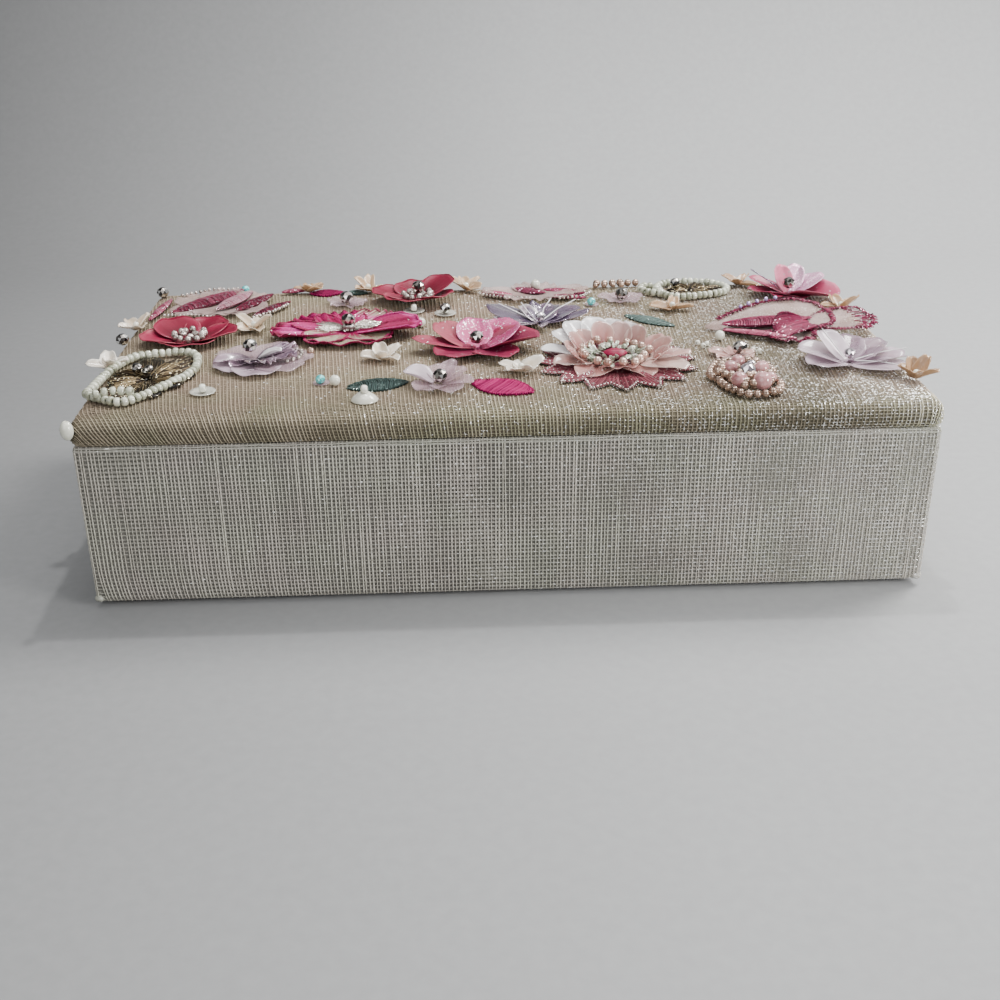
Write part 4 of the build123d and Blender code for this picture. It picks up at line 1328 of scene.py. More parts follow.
mint_bead = glass_material("Mint seed bead", (0.22, 0.23, 0.15), (0.66, 0.67, 0.55))
clear_bead = glass_material("Silver lined bead", (0.13, 0.10, 0.085), (0.80, 0.72, 0.66), 0.07, 0.5)
dark_lined_bead = glass_material("Dark lined bead", (0.10, 0.07, 0.06), (0.55, 0.44, 0.42), 0.08, 0.6)
champagne_pearl = glass_material("Champagne pearl", (0.12, 0.07, 0.045), (0.56, 0.38, 0.29), 0.16, 0.6)
blush_pearl = glass_material("Blush pearl", (0.28, 0.15, 0.11), (0.72, 0.51, 0.42), 0.16, 0.45)
ivory_pearl = glass_material("Ivory pearl", (0.56, 0.57, 0.45), (0.88, 0.87, 0.78), 0.18)
rose_bead = glass_material("Rose bead", (0.24, 0.08, 0.085), (0.64, 0.33, 0.33), 0.10)
aqua_stone = glass_material("Aqua stone", (0.02, 0.38, 0.40), (0.26, 0.84, 0.82), 0.05, 0.2)
lavender_bead = glass_material("Lavender bead", (0.24, 0.14, 0.46), (0.72, 0.58, 0.90), 0.1, 0.4)
silver_bead = cut_material(
    "Silver bead",
    [(0.0, (0.02, 0.018, 0.016)), (0.35, (0.16, 0.14, 0.125)), (0.7, (0.58, 0.54, 0.48)),
     (1.0, (1.0, 0.98, 0.94))],
)
clear_stone = cut_material(
    "Clear stone", [(0.0, (0.14, 0.12, 0.14)), (0.4, (0.44, 0.38, 0.42)), (1.0, (1.0, 0.98, 1.0))],
    metallic=0.85,
)
silver_setting = metal_material("Silver setting", (0.42, 0.406, 0.378), (0.60, 0.58, 0.54), 0.25)
silver_thread = floss_material(
    "Silver thread", [(0.2, (0.20, 0.18, 0.15)), (0.8, (0.58, 0.54, 0.45))],
    roughness=0.3, metallic=0.6, glint=0.25,
)
bronze_thread = floss_material(
    "Bronze thread", [(0.0, (0.006, 0.004, 0.003)), (0.45, (0.040, 0.024, 0.012)), (1.0, (0.34, 0.25, 0.13))],
    roughness=0.33, metallic=0.5, glint=0.08, glint_tone=(0.98, 0.88, 0.62),
)
crimson_film = film_material(
    "Crimson sequin",
    [(0.0, (0.09, 0.001, 0.010)), (0.45, (0.20, 0.004, 0.028)), (0.8, (0.32, 0.022, 0.064)),
     (1.0, (0.44, 0.10, 0.13))],
    roughness=0.38, grain=0.5, alpha=0.90, coat=0.1, gloss=0.3,
)
rose_film = film_material(
    "Rose sequin", [(0.0, (0.17, 0.005, 0.03)), (0.5, (0.42, 0.06, 0.13)), (1.0, (0.68, 0.22, 0.32))],
    roughness=0.35, grain=0.5, alpha=0.92, coat=0.05, gloss=0.3, flash=0.008,
)
coral_film = film_material(
    "Coral sequin", [(0.0, (0.13, 0.003, 0.03)), (0.4, (0.28, 0.022, 0.065)), (1.0, (0.42, 0.10, 0.125))],
    roughness=0.42, grain=0.34, depth=0.2, coat=0.0, gloss=0.25, flash=0.008, alpha=0.94,
)
coral_foil = foil_material(
    "Coral foil", [(0.0, (0.22, 0.010, 0.06)), (0.5, (0.46, 0.045, 0.17)), (1.0, (0.70, 0.15, 0.36))],
    grain=0.4, depth=0.22, flash=0.05,
)
glitter_foil = foil_material(
    "Pink glitter foil", [(0.0, (0.52, 0.13, 0.32)), (1.0, (0.86, 0.52, 0.70))], metallic=0.45, flash=0.12
)
mint_foil = foil_material(
    "Mint foil", [(0.0, (0.26, 0.31, 0.21)), (1.0, (0.74, 0.78, 0.64))], grain=0.8, metallic=0.5
)
lilac_film = film_material(
    "Lilac sequin", [(0.0, (0.24, 0.14, 0.20)), (0.5, (0.50, 0.36, 0.44)), (1.0, (0.76, 0.64, 0.71))],
    roughness=0.20, alpha=0.66, coat=0.6, grain=3.0,
)
lilac_sheer = film_material(
    "Sheer lilac", [(0.0, (0.42, 0.25, 0.30)), (1.0, (0.66, 0.50, 0.56))],
    roughness=0.2, alpha=0.34, coat=0.5, grain=4.0,
)
# The top stop, near white, is a painted highlight for the petals tinted highest.
lilac_clear = iridescent_material(
    "Clear lilac film",
    [(0.0, (0.05, 0.03, 0.07)), (0.36, (0.12, 0.08, 0.14)), (0.56, (0.24, 0.15, 0.21)),
     (0.78, (0.42, 0.30, 0.37)), (1.0, (1.0, 0.95, 0.97))],
    alpha=0.78,
)
peach_film = film_material(
    "Peach sequin", [(0.0, (0.40, 0.15, 0.14)), (0.5, (0.62, 0.35, 0.31)), (1.0, (0.78, 0.60, 0.54))],
    roughness=0.16, alpha=0.66, coat=0.6, grain=2.2,
)
white_film = film_material(
    "White sequin", [(0.0, (0.66, 0.60, 0.60)), (1.0, (0.92, 0.90, 0.91))],
    roughness=0.15, coat=0.8, grain=3.0, alpha=0.82,
)
cup_film = film_material(
    "Cup sequin", [(0.0, (0.44, 0.43, 0.34)), (1.0, (0.80, 0.80, 0.70))], roughness=0.18, coat=0.8, grain=1.5
)
clear_disc_film = film_material(
    "Clear disc sequin", [(0.0, (0.50, 0.49, 0.40)), (1.0, (0.84, 0.84, 0.76))],
    roughness=0.15, coat=0.8, grain=1.5, alpha=0.6,
)
shell_film = film_material(
    "Shell",
    [(0.0, (0.50, 0.30, 0.16)), (0.35, (0.70, 0.49, 0.31)), (0.7, (0.80, 0.67, 0.52)),
     (1.0, (0.88, 0.83, 0.74))],
    roughness=0.24, coat=0.4, grain=1.2, depth=0.08, alpha=0.8,
)
lurex_thread = floss_material(
    "Pink lurex",
    [(0.0, (0.05, 0.002, 0.014)), (0.35, (0.17, 0.007, 0.045)), (0.65, (0.29, 0.028, 0.085)),
     (1.0, (0.46, 0.13, 0.20))],
    roughness=0.36, metallic=0.25, glint=0.06, glint_tone=(0.84, 0.50, 0.62),
)
maroon_lurex = floss_material(
    "Maroon lurex",
    [(0.0, (0.07, 0.008, 0.020)), (0.35, (0.20, 0.022, 0.055)), (0.65, (0.38, 0.10, 0.16)),
     (1.0, (0.60, 0.34, 0.40))],
    roughness=0.36, metallic=0.3, glint=0.13, glint_tone=(0.9, 0.70, 0.76),
)
silk_floss = floss_material(
    "Silk floss",
    [(0.0, (0.08, 0.001, 0.015)), (0.22, (0.25, 0.004, 0.05)), (0.45, (0.48, 0.012, 0.16)),
     (0.62, (0.70, 0.11, 0.38)), (0.80, (0.42, 0.35, 0.26)), (1.0, (0.32, 0.28, 0.19))],
    roughness=0.42, glint=0.004,
)
rose_floss = floss_material(
    "Rose floss", [(0.0, (0.08, 0.010, 0.020)), (0.6, (0.18, 0.036, 0.052)), (1.0, (0.33, 0.11, 0.13))],
    roughness=0.5, glint=0.05, gloss=0.2,
)
crimson_floss = floss_material("Crimson floss", [(0.0, (0.10, 0.002, 0.015)), (1.0, (0.33, 0.008, 0.06))])
teal_floss = floss_material(
    "Teal floss", [(0.0, (0.010, 0.024, 0.022)), (0.5, (0.028, 0.055, 0.050)), (1.0, (0.085, 0.14, 0.125))],
    glint=0.03, glint_tone=(0.7, 0.9, 0.85),
)
magenta_floss = floss_material(
    "Magenta floss", [(0.0, (0.13, 0.002, 0.035)), (0.5, (0.31, 0.005, 0.09)), (1.0, (0.45, 0.022, 0.15))],
    roughness=0.55, gloss=0.1,
)
pale_organza = organza_material("Pale organza", (0.34, 0.215, 0.19), (0.50, 0.36, 0.34), alpha=0.44)


# Flowers and their places on the lid, as shares of its half length and half depth

place_shares = {
    "front_loop": (-0.863, -0.498),
    "back_loop": (0.552, 0.785),
    "red_left": (-0.822, 0.155),
    "red_back": (-0.226, 0.748),
    "organza_left": (-0.785, 0.666),
    "organza_back": (0.113, 0.785),
    "organza_right": (0.758, 0.146),
    "lilac_left": (-0.605, -0.265),
    "lilac_right": (0.841, -0.401),
    "silk": (-0.405, 0.164),
    "coral": (-0.073, -0.109),
    "crystal": (0.109, 0.310),
    "sunburst": (0.274, -0.347),
    "small_lilac": (-0.163, -0.620),
    "small_lilac_back": (0.358, 0.657),
    "cluster": (0.567, -0.657),
    "pink_back": (0.832, 0.726),
}
petal_defaults = dict(out=0.6, tilt=0, roll=0, level=0, slot=0, tints=(0.2, 0.9))


def lobe(turn, tilt=0, **shape):
    """One petal of a flower: its turn and tilt in degrees, and what differs from the others."""
    return dict(turn=turn, tilt=tilt, **shape)


def middle_of(key, shift=(0, 0, 0)):
    """The middle of a flower on the lid's top."""
    return on_lid(place_shares[key]) + shift


def bloom(made, centre, petals, lift=0.5, thickness=0.08, rows=12, columns=21, **shared):
    """Petals round a centre. Each petal gives what differs from the shared values."""
    surfaces = []
    for lobes in petals:
        shape = {**petal_defaults, **shared, **lobes}
        way = {key: shape.pop(key) for key in ("turn", "out", "tilt", "roll")}
        level, slot, (middle, rim) = (shape.pop(key) for key in ("level", "slot", "tints"))
        surface = set_at(petal(**shape), spot(centre + (0, 0, lift + level), **way))
        # Darker at the root and lighter towards the rim: partly the sequins' own lighter rims, partly painted
        # shade near the middle where the petals overlap.
        tint = sheet_tint(rows, columns, lambda along, across: middle + (rim - middle) * np.clip(
            0.55 * along**2 + 0.6 * np.abs(across) ** 4, 0, 1))
        made.add(sheet_form(surface, rows, columns, thickness), slot, tint)
        surfaces.append(surface)
    return surfaces


def bead_on(made, place, form, slot=0, tint=0.5, **turned):
    made.add(moved(form, spot(place, **turned)), slot, tint)


def ring_of(made, centre, form, radius, count, lift, turn=0.0, seed=1, tilt=0.0, stray=0.15):
    """Beads in a ring, none quite alike."""
    random = np.random.default_rng(seed)
    for k in range(count):
        place = centre + (0, 0, lift + random.uniform(0, stray))
        heading = turn + 360 * k / count + random.normal(0, 3)
        matrix = spot(place, heading, radius + random.normal(0, stray), tilt + random.normal(0, 8),
                      random.normal(0, 12))
        made.add(moved(form, matrix), 0, random.uniform(0, 1))


def toned(base, by_chance=0.0, by_length=0.0, by_edge=0.0):
    """A tint for each stitch that changes by chance, along it and towards the edges."""

    def tint(along, across, chance):
        return base + by_chance * chance + by_length * along + by_edge * np.abs(across)

    return tint


# Bead loops with thread petals

front_loop_shares = (
    (-1.04, -0.62), (-0.75, -0.78), (-0.25, -0.95), (0.10, -0.72), (0.45, -0.35), (0.76, 0.05), (0.88, 0.45),
    (0.72, 0.96), (0.30, 1.08), (-0.10, 1.04), (-0.55, 0.90), (-0.82, 0.56), (-0.94, 0.10), (-1.00, -0.30),
)
back_loop_shares = (
    (-0.62, -0.55), (-0.30, -0.98), (0.30, -0.80), (0.92, -0.40), (1.05, 0.25), (0.66, 0.86), (0.10, 1.00),
    (-0.45, 0.82), (-0.72, 0.15),
)
back_lobe_shares = ((-1.12, 0.10), (-0.95, -0.25), (-0.66, -0.45), (-0.70, 0.30), (-0.98, 0.48))
front_loop_reach = (12.2, 18.2)
back_loop_reach = (12.2, 8.4)
bead_diameter = 2.35
bead_length = 1.62
bead_pitch = 1.78


def loop_path(centre, reach, shares, lift):
    return smooth_loop([centre + (reach[0] * x, reach[1] * y, lift) for x, y in shares])


def bronze_petals(made, centre, petals, seed):
    """Fans of bronze thread over a dark ground, with dark gaps between them."""
    for number, (turn, length, width) in enumerate(petals):
        fan = petal(length, width, root=0.25, shoulder=0.45, rise=1.6, curl=-1.2, cup=-0.9, wave=0.25,
                    waves=3, phase=number)
        surface = set_at(fan, spot(centre + (0, 0, 0.5), turn, out=0.8))
        made.add(sheet_form(surface, 7, 9, 0.12), 0, 0.0)
        stitches(made, surface, int(width * 4.2), 0.24, 0,
                 lambda along, across, chance: 0.05 + 0.6 * chance**3 + 0.3 * along * (1 - np.abs(across)),
                 seed=seed + number, ragged=0.16, lift=0.05, samples=9)
        stitches(made, surface, int(width * 1.6), 0.22, 0, toned(0.35, 0.65), seed=seed + 40 + number,
                 begin=0.1, end=0.72, ragged=0.3, lift=0.35)


def bead_loop(side, strings, fans, shift, seed, beads):
    """Strings of seed beads, each open or closed, round fans of bronze thread with cut silver beads."""
    centre = middle_of(f"{side}_loop")
    made = Gathered()
    bead = seed_form(bead_diameter, bead_length)
    for path, closed, string_seed in strings:
        string_beads(made, path, bead, bead_pitch, closed=closed, seed=string_seed)
    made.piece(f"{side}_loop_beads", [mint_bead], [f"seed_loop_{side}"], "mint_glass")
    made = Gathered()
    bronze_petals(made, centre + shift, fans, seed)
    for size, place, turned in beads:
        bead_on(made, centre + place, cut_form(size), 1, **turned)
    made.piece(f"{side}_loop_thread_petals", [bronze_thread, silver_bead], [f"thread_petals_{side}"],
               "gold_thread")


def bead_loops():
    front = middle_of("front_loop")
    strings = [
        (loop_path(front, front_loop_reach, front_loop_shares, 0.1), True, 4),
        ([front + (-9.4, -15.2, 1.5), front + (-5.4, -13.6, 1.7), front + (-1.4, -14.0, 1.5)], False, 6),
    ]
    fans = (
        (236, 16.0, 11.0), (280, 13.0, 9.0), (330, 9.5, 9.0), (20, 11.0, 9.0), (62, 17.5, 10.5),
        (100, 16.5, 10.0), (150, 9.5, 10.0), (194, 9.5, 9.0),
    )
    beads = [(size, (0, 0, 2.0), dict(turn=turn, out=out, tilt=8))
             for turn, out, size in ((150, 3.6, 3.0), (172, 0.6, 2.2), (88, 1.8, 2.4))]
    bead_loop("front", strings, fans, (0, 0, 0), 11, beads)

    back = middle_of("back_loop")
    strings = [
        (loop_path(back, back_loop_reach, back_loop_shares, 0.1), True, 5),
        (loop_path(back, back_loop_reach, back_lobe_shares, 0.1), True, 8),
    ]
    fans = (
        (170, 6.5, 6.0), (215, 7.5, 5.5), (262, 6.0, 6.0), (318, 8.0, 6.0), (10, 9.5, 6.5), (62, 7.5, 6.0),
        (118, 6.5, 6.5),
    )
    bead_loop("back", strings, fans, (1.5, 0, 0), 31, [(3.4, (-3.0, 1.0, 1.6), {})])


# Crimson flowers with bead rings

def red_flower(side, petals, shift):
    """Ribbed crimson petals with a cord along each rim, round a ring of clear beads."""
    centre = middle_of(f"red_{side}", shift)
    made = Gathered()
    surfaces = bloom(made, centre, petals, lift=0.4, length=12.2, width=13.0, root=0.3, shoulder=0.5,
                     rise=1.4, curl=1.0, cup=1.3, wave=0.3, ribs=9, rib_depth=0.04, tints=(0.05, 0.95),
                     rows=14, columns=25)
    for surface in surfaces:
        made.add(cord_form(rim_path(surface, 25, inset=0.01, lift=0.0, down=0.5), 0.22, 0.16), 0, 0.9)
    made.piece(f"red_{side}_flower_petals", [crimson_film], [f"red_flower_{side}_petals"],
               "crimson_sequin")
    made = Gathered()
    ring_of(made, centre, pearl_form(1.9), 4.4, 13, lift=1.1, seed=21, stray=0.35)
    ring_of(made, centre, cut_form(2.0), 1.8, 3, lift=1.4, turn=40, seed=22, stray=0.2)
    made.piece(f"red_{side}_flower_beads", [clear_bead], [f"red_flower_{side}_beads"], "clear_glass")


def red_flowers():
    red_flower("left", [
        lobe(58, 4, phase=1.0, length=13.0),
        lobe(130, 5, level=0.2, length=12.5),
        lobe(0, 3, level=0.3, width=13.5, length=13.0),
        lobe(196, 1, level=0.1, phase=2.0, length=13.0, tints=(0.6, 1.1)),
        lobe(272, -2, level=0.2, length=10.5, width=16.0, tints=(0.0, 0.6)),
    ], (0.2, -3.0, -0.3))
    red_flower("back", [
        lobe(100, 6, phase=1.0, length=10.5),
        lobe(26, 15, level=0.4, width=13.5, cup=1.8),
        lobe(176, 3, level=0.3, phase=2.0, length=13.5),
        lobe(316, 5, level=0.6),
        lobe(236, 1, level=0.7, width=13.5, phase=0.5),
    ], (0, -1.2, 0))


# Organza flowers

def lens_of(made, start, end, width, slot, tint, lift, rows=2.2, seed=1):
    """A leaf of slanting stitches between two points of the lid."""
    start, end = np.array([*start, lid_top + lift]), np.array([*end, lid_top + lift])
    way = end - start
    length = np.linalg.norm(way)
    surface = set_at(lens(length, width, 0.8), spot(start, degrees(atan2(way[1], way[0]))))
    made.add(sheet_form(surface, 13, 7, 0.35), slot, 0.15)
    random = np.random.default_rng(seed)
    count = int(length * rows)
    along = np.linspace(0.03, 0.97, count)[:, None] + random.normal(0, 0.004, (count, 1))
    across = np.linspace(-0.98, 0.98, 6)[None, :] + np.zeros((count, 1))
    along = np.clip(along + 1.2 / length * (1 - np.abs(across)), 0.0, 1.0)
    normals = surface_normals(surface, np.clip(along, 0.03, 0.97), across)
    chance = random.uniform(0, 1, (count, 1)) + np.zeros_like(along)
    points = surface(along, across) + normals * (0.05 + 0.1 * chance[..., None])
    tints = np.clip(tint(along, across, chance), 0, 1)
    widths = np.full(along.shape, 1.1 / rows)
    form = laid_threads(points, normals, np.ones(along.shape, bool), widths, 0.25)
    made.add(form, slot, np.repeat(tints.reshape(-1), 3))
    return surface


def whipping(made, path, pitch, slot, width, height, tints, seed, stray=14):
    """Short bars across a path, as of a whipped or beaded edge."""
    random = np.random.default_rng(seed)
    for place, heading in zip(*evenly(path, pitch)):
        turn = heading + 90 + random.normal(0, stray)
        roll = random.normal(0, stray)
        matrix = spot(place, turn, tilt=random.normal(0, stray), roll=roll)
        length = width * random.uniform(0.75, 1.2)
        points = [(-length / 2, 0, 0), (0, 0, height), (length / 2, 0, 0)]
        made.add(moved(cord_form(points, pitch * 0.7, 0.25), matrix), slot, random.uniform(*tints))


def organza_flower(side, petals, leaves, strings, **shape):
    """Sheer petals, with leaves and bead strings placed in millimetres from the middle of the lid's top."""
    made = Gathered()
    bloom(made, middle_of(f"organza_{side}"), petals, shoulder=0.6, cup=0.5, wave=0.4, waves=3, thickness=0.1,
          **shape)
    for start, end, width, lift, tint, seed in leaves:
        lens_of(made, start, end, width, 1, tint, lift, seed=seed)
    for places, pitch, seed in strings:
        path = [(x, y, lid_top + lift) for x, y, lift in places]
        string_beads(made, path, seed_form(1.0, 0.8, sides=8), pitch, 2, seed=seed)
    return made


def organza_left():
    leaves = (
        ((-96.5, 27.5), (-78.0, 52.5), 7.4, 1.3, toned(0.05, 0.5, 0.2), 41),
        ((-83.0, 28.5), (-75.0, 47.0), 5.4, 1.9, toned(0.75, 0.3), 42),
        ((-77.5, 28.0), (-68.5, 45.5), 4.6, 1.5, toned(0.05, 0.35), 49),
        ((-71.8, 24.4), (-62.5, 38.5), 3.4, 1.0, toned(0.0, 0.35), 43),
        ((-101.5, 22.0), (-99.0, 44.0), 2.2, 0.9, toned(0.3, 0.5), 44),
        ((-66.5, 49.5), (-59.0, 51.0), 2.4, 0.8, toned(0.2, 0.5), 48),
    )
    strings = (
        (((-71.5, 23.0, 0.6), (-66.5, 28.0, 0.8), (-63.0, 35.5, 0.6)), 1.1, 45),
        (((-98.0, 27.0, 0.6), (-90.5, 26.0, 0.9), (-83.0, 24.5, 0.6)), 1.1, 46),
        (((-96.0, 45.0, 1.4), (-88.0, 49.5, 1.8), (-80.0, 51.0, 1.4)), 1.3, 47),
    )
    petals = [lobe(150, 1), lobe(95, 2), lobe(35, 1), lobe(330, 1), lobe(215, 1), lobe(268, 1, length=11.0)]
    made = organza_flower("left", petals, leaves, strings, length=15.0, width=14.0, root=0.3, rise=0.8)
    made.piece("organza_flower_left_petals", [pale_organza, maroon_lurex, clear_bead],
               ["organza_flower_left"], "pink_organza")


def organza_back():
    leaves = (
        ((-4.5, 45.0), (6.0, 39.5), 4.4, 0.9, toned(0.6, 0.4), 51),
        ((5.0, 47.5), (15.0, 42.5), 5.0, 1.1, toned(0.1, 0.3), 52),
        ((14.5, 46.5), (27.5, 41.5), 4.4, 0.9, toned(0.2, 0.4), 53),
        ((16.0, 38.5), (27.0, 37.0), 2.6, 0.9, toned(0.2, 0.5), 54),
    )
    strings = (
        (((-5.0, 42.0, 0.8), (2.0, 37.0, 1.0), (10.0, 36.5, 0.8)), 1.2, 55),
        (((19.0, 36.0, 0.8), (26.0, 37.0, 1.0), (29.0, 42.0, 0.8)), 1.2, 56),
    )
    petals = [
        lobe(178, 2), lobe(222, 1, length=11), lobe(280, 1, length=9), lobe(335, 2, length=12), lobe(4, 2),
        lobe(60, 2, length=9), lobe(120, 2, length=9),
    ]
    made = organza_flower("back", petals, leaves, strings, length=16.0, width=9.0, root=0.35, rise=1.0)
    bead_on(made, middle_of("organza_back", (0.4, 3.8, 1.0)), pearl_form(3.1), 3, 0.0)
    made.piece("organza_flower_back_petals", [pale_organza, lurex_thread, clear_bead, ivory_pearl],
               ["organza_flower_back"], "pink_organza")


def organza_right():
    """Three sheer petals with whipped pink edges, two glitter leaves and a twisted petal."""
    made = Gathered()
    base = middle_of("organza_right", (0, -5.6, 0))
    long_petal = petal(37.0, 20.0, root=0.10, shoulder=0.72, rise=1.2, cup=1.5, curl=0.6, wave=0.25, waves=4)
    long_petal = set_at(long_petal, spot(base + (-22.5, 3.0, 1.0), turn=6, roll=8))
    side_petal = set_at(petal(20.0, 16.0, root=0.25, shoulder=0.65, rise=1.4, cup=1.2, wave=0.4, waves=3),
                        spot(base + (5.0, 3.0, 1.2), turn=-6, roll=4))
    front_petal = set_at(petal(12.0, 13.0, root=0.3, shoulder=0.6, rise=0.8, cup=0.8, wave=0.4, waves=3),
                         spot(base + (-3.0, -1.0, 0.5), turn=-68))
    made.add(sheet_form(long_petal, 16, 17, 0.1), 0, 0.4)
    made.add(sheet_form(side_petal, 12, 15, 0.1), 0, 0.6)
    made.add(sheet_form(front_petal, 10, 13, 0.1), 0, 0.5)
    for number, surface in enumerate((long_petal, side_petal, front_petal)):
        rim = rim_path(surface, 45, inset=0.01, lift=0.1)
        whipping(made, rim, 0.42, 1, 1.9, 0.35, (0.0, 0.7), 61 + number)
        made.add(cord_form(rim, 0.45, 0.35), 1, 0.9)
    back_edge = long_petal(np.linspace(0.42, 0.80, 30), np.full(30, 0.97)) + (0, 0, 0.4)
    string_beads(made, back_edge, seed_form(1.2, 1.0, sides=8), 2.1, 2, seed=64)
    x, y, _ = base
    sparkle = toned(0.30, 0.45, by_edge=0.15)
    lens_of(made, (x - 19.0, y + 0.5), (x + 8.0, y + 5.0), 8.0, 1, sparkle, 2.4, 3.0, 65)
    lens_of(made, (x - 19.0, y - 1.2), (x, y - 10.0), 2.6, 1, toned(0.7, 0.3), 1.4, 2.6, 66)
    twist = set_at(petal(16.5, 10.5, root=0.4, shoulder=0.6, rise=2.4, cup=2.0, curl=-2.0, wave=0.3, waves=3),
                   spot(base + (7.5, 3.5, 1.6), turn=222, roll=-14))
    made.add(sheet_form(twist, 12, 11, 0.15), 1, 0.3)
    stitches(made, twist, 44, 0.32, 1, toned(0.1, 0.6), seed=67, lift=0.05)
    stitches(made, side_petal, 30, 0.35, 1, toned(0.15, 0.5), seed=68, begin=0.72, ragged=0.2, lift=0.05)
    made.piece("organza_flower_right_petals", [pale_organza, lurex_thread, lavender_bead],
               ["organza_flower_right"], "pink_organza")


# Lilac flowers

def fold_highlights_on(made, centre, folds, bend, height, tint):
    """Painted highlights: bright white cords along petal folds, from a centre outwards, where the folds catch
    the light.
    """
    for turn, length, tilt in folds:
        path = [(0, 0, 0), (length * 0.5, bend, 0.3), (length, 0, 0)]
        made.add(moved(cord_form(path, 0.35, height), spot(centre, turn, 1.5, tilt)), 1, tint)


def lilac_left():
    """Flat pale petals with folded and clear crumpled ones over them, tinted dark in their folds as painted
    shade and near white where they flash as painted highlights.
    """
    centre = middle_of("lilac_left")
    made = Gathered()
    bloom(made, centre, [
        lobe(208, 1), lobe(262, 1, level=0.15), lobe(316, 1, level=0.3, slot=1), lobe(10, 2, slot=1),
        lobe(70, 2, slot=1), lobe(150, 2, level=0.2, slot=1),
    ], length=12.8, width=13.0, root=0.3, shoulder=0.5, rise=0.5, cup=0.4, wave=0.3, tints=(0.45, 1.0),
        columns=17)
    made.piece("lilac_flower_left_petals", [lilac_film, lilac_sheer], ["lilac_flower_left"], "lilac_sequin")
    top = centre + (-2.2, 0.8, 0)
    made = Gathered()
    # Painted shade and highlights: tints run from dark in the folds to near white where the folds flash, and
    # the small standing white petal is a painted highlight.
    bloom(made, top, [
        lobe(200, 7, width=6.0, length=10.5, crease=1.6, tints=(0.0, 0.35)),
        lobe(236, 5, width=5.5, length=8.5, slot=1, crease=0.9, tints=(0.3, 1.2)),
        lobe(352, 24, width=4.5, length=7.5, slot=4, crease=0.8, tints=(0.6, 1.0)),
        lobe(342, 10, width=7.5, length=12.0, slot=1, wave=0.9, waves=3, tints=(0.3, 0.9)),
        lobe(305, 9, width=6.0, length=9.5, slot=1, wave=0.8, waves=4, tints=(0.4, 1.2)),
        lobe(18, 12, width=6.0, length=11.0, slot=1, wave=0.8, waves=3, tints=(0.2, 0.8)),
        lobe(275, 6, width=5.0, length=8.5, slot=1, crease=-0.8, tints=(0.1, 0.5)),
    ], lift=1.0, root=0.3, shoulder=0.45, rise=0.5, cup=0.7, wave=0.3, columns=15)
    string = ((9.5, 4.5, 1.4), (12.5, 2.0, 1.4), (12.0, -2.0, 1.2), (9.0, -4.0, 1.0))
    string_beads(made, top + string, seed_form(1.2, 1.0, sides=8), 1.5, 2, seed=71)
    bead_on(made, top + (14.5, 3.0, 0.6), pearl_form(2.2), 3, 0.6)
    made.piece("lilac_flower_left_raised_petals",
               [lilac_film, lilac_clear, clear_bead, champagne_pearl, white_film], ["lilac_flower_left_top"],
               "lilac_sequin")


def lilac_right():
    """Broad pale petals that lie low in front, folded ones behind, the back ones tinted darker as painted
    shade.
    """
    centre = middle_of("lilac_right", (0.4, -3.4, 0))
    made = Gathered()
    bloom(made, centre, [
        lobe(160, 10, length=13.5, notch=0.05, cup=1.4, tints=(0.55, 1.1)),
        lobe(206, 3, length=12.5, level=0.2, cup=1.2, tints=(0.4, 1.0)),
        lobe(120, 30, length=12.0, width=7.5, crease=1.4, tints=(0.8, 1.2)),
        lobe(322, 2, notch=0.08, length=15.5, crease=-0.9, tints=(0.5, 1.1)),
        lobe(356, 10, notch=0.08, length=15.0, width=10.0, crease=1.6, tints=(0.1, 1.1)),
        # Painted shade: the two back petals are tinted darkest, for the shade on their undersides.
        lobe(30, 18, length=12.5, width=9.0, crease=1.0, tints=(0.0, 0.35)),
        lobe(76, 18, length=11.0, width=9.0, tints=(0.0, 0.3)),
    ], length=14.0, width=12.0, root=0.26, shoulder=0.5, rise=0.9, cup=0.7, wave=0.25, columns=17)
    fold_highlights_on(made, centre + (0, 0, 1.2), ((356, 13.5, 14), (322, 13.0, 5), (120, 10.5, 33)), 0.4, 0.2, 0.9)
    made.piece("lilac_flower_right_petals", [lilac_film, white_film], ["lilac_flower_right"], "lilac_sequin")


def small_lilacs():
    """One round cup that catches the light, among petals almost too clear to see."""
    made = Gathered()
    bloom(made, middle_of("small_lilac"), [
        lobe(168, 16, tints=(0.75, 1.3), cup=2.0, length=8.2, width=7.6, root=0.5, out=1.6),
        lobe(236, 3, slot=1, length=8.6, width=8.6), lobe(292, 2, slot=1, length=8.8, width=8.4),
        lobe(345, 5, slot=1, length=8.4), lobe(30, 16, slot=1, width=6.5), lobe(84, 14, slot=1),
        lobe(52, 34, slot=1, length=7.2, width=5.0),
    ], length=7.6, width=7.4, root=0.3, shoulder=0.5, rise=0.5, cup=1.0, wave=0.2)
    lengths = (6.4, 5.0, 7.0, 5.6, 6.0)
    petals = [lobe(20 + 72 * number, 4, slot=1, length=length) for number, length in enumerate(lengths)]
    bloom(made, middle_of("small_lilac_back"), petals, width=6.4, root=0.35, shoulder=0.5, rise=0.4, cup=0.4,
          wave=0.2)
    made.piece("small_lilac_petals", [lilac_film, lilac_sheer], ["small_lilac_flowers"], "lilac_sequin")


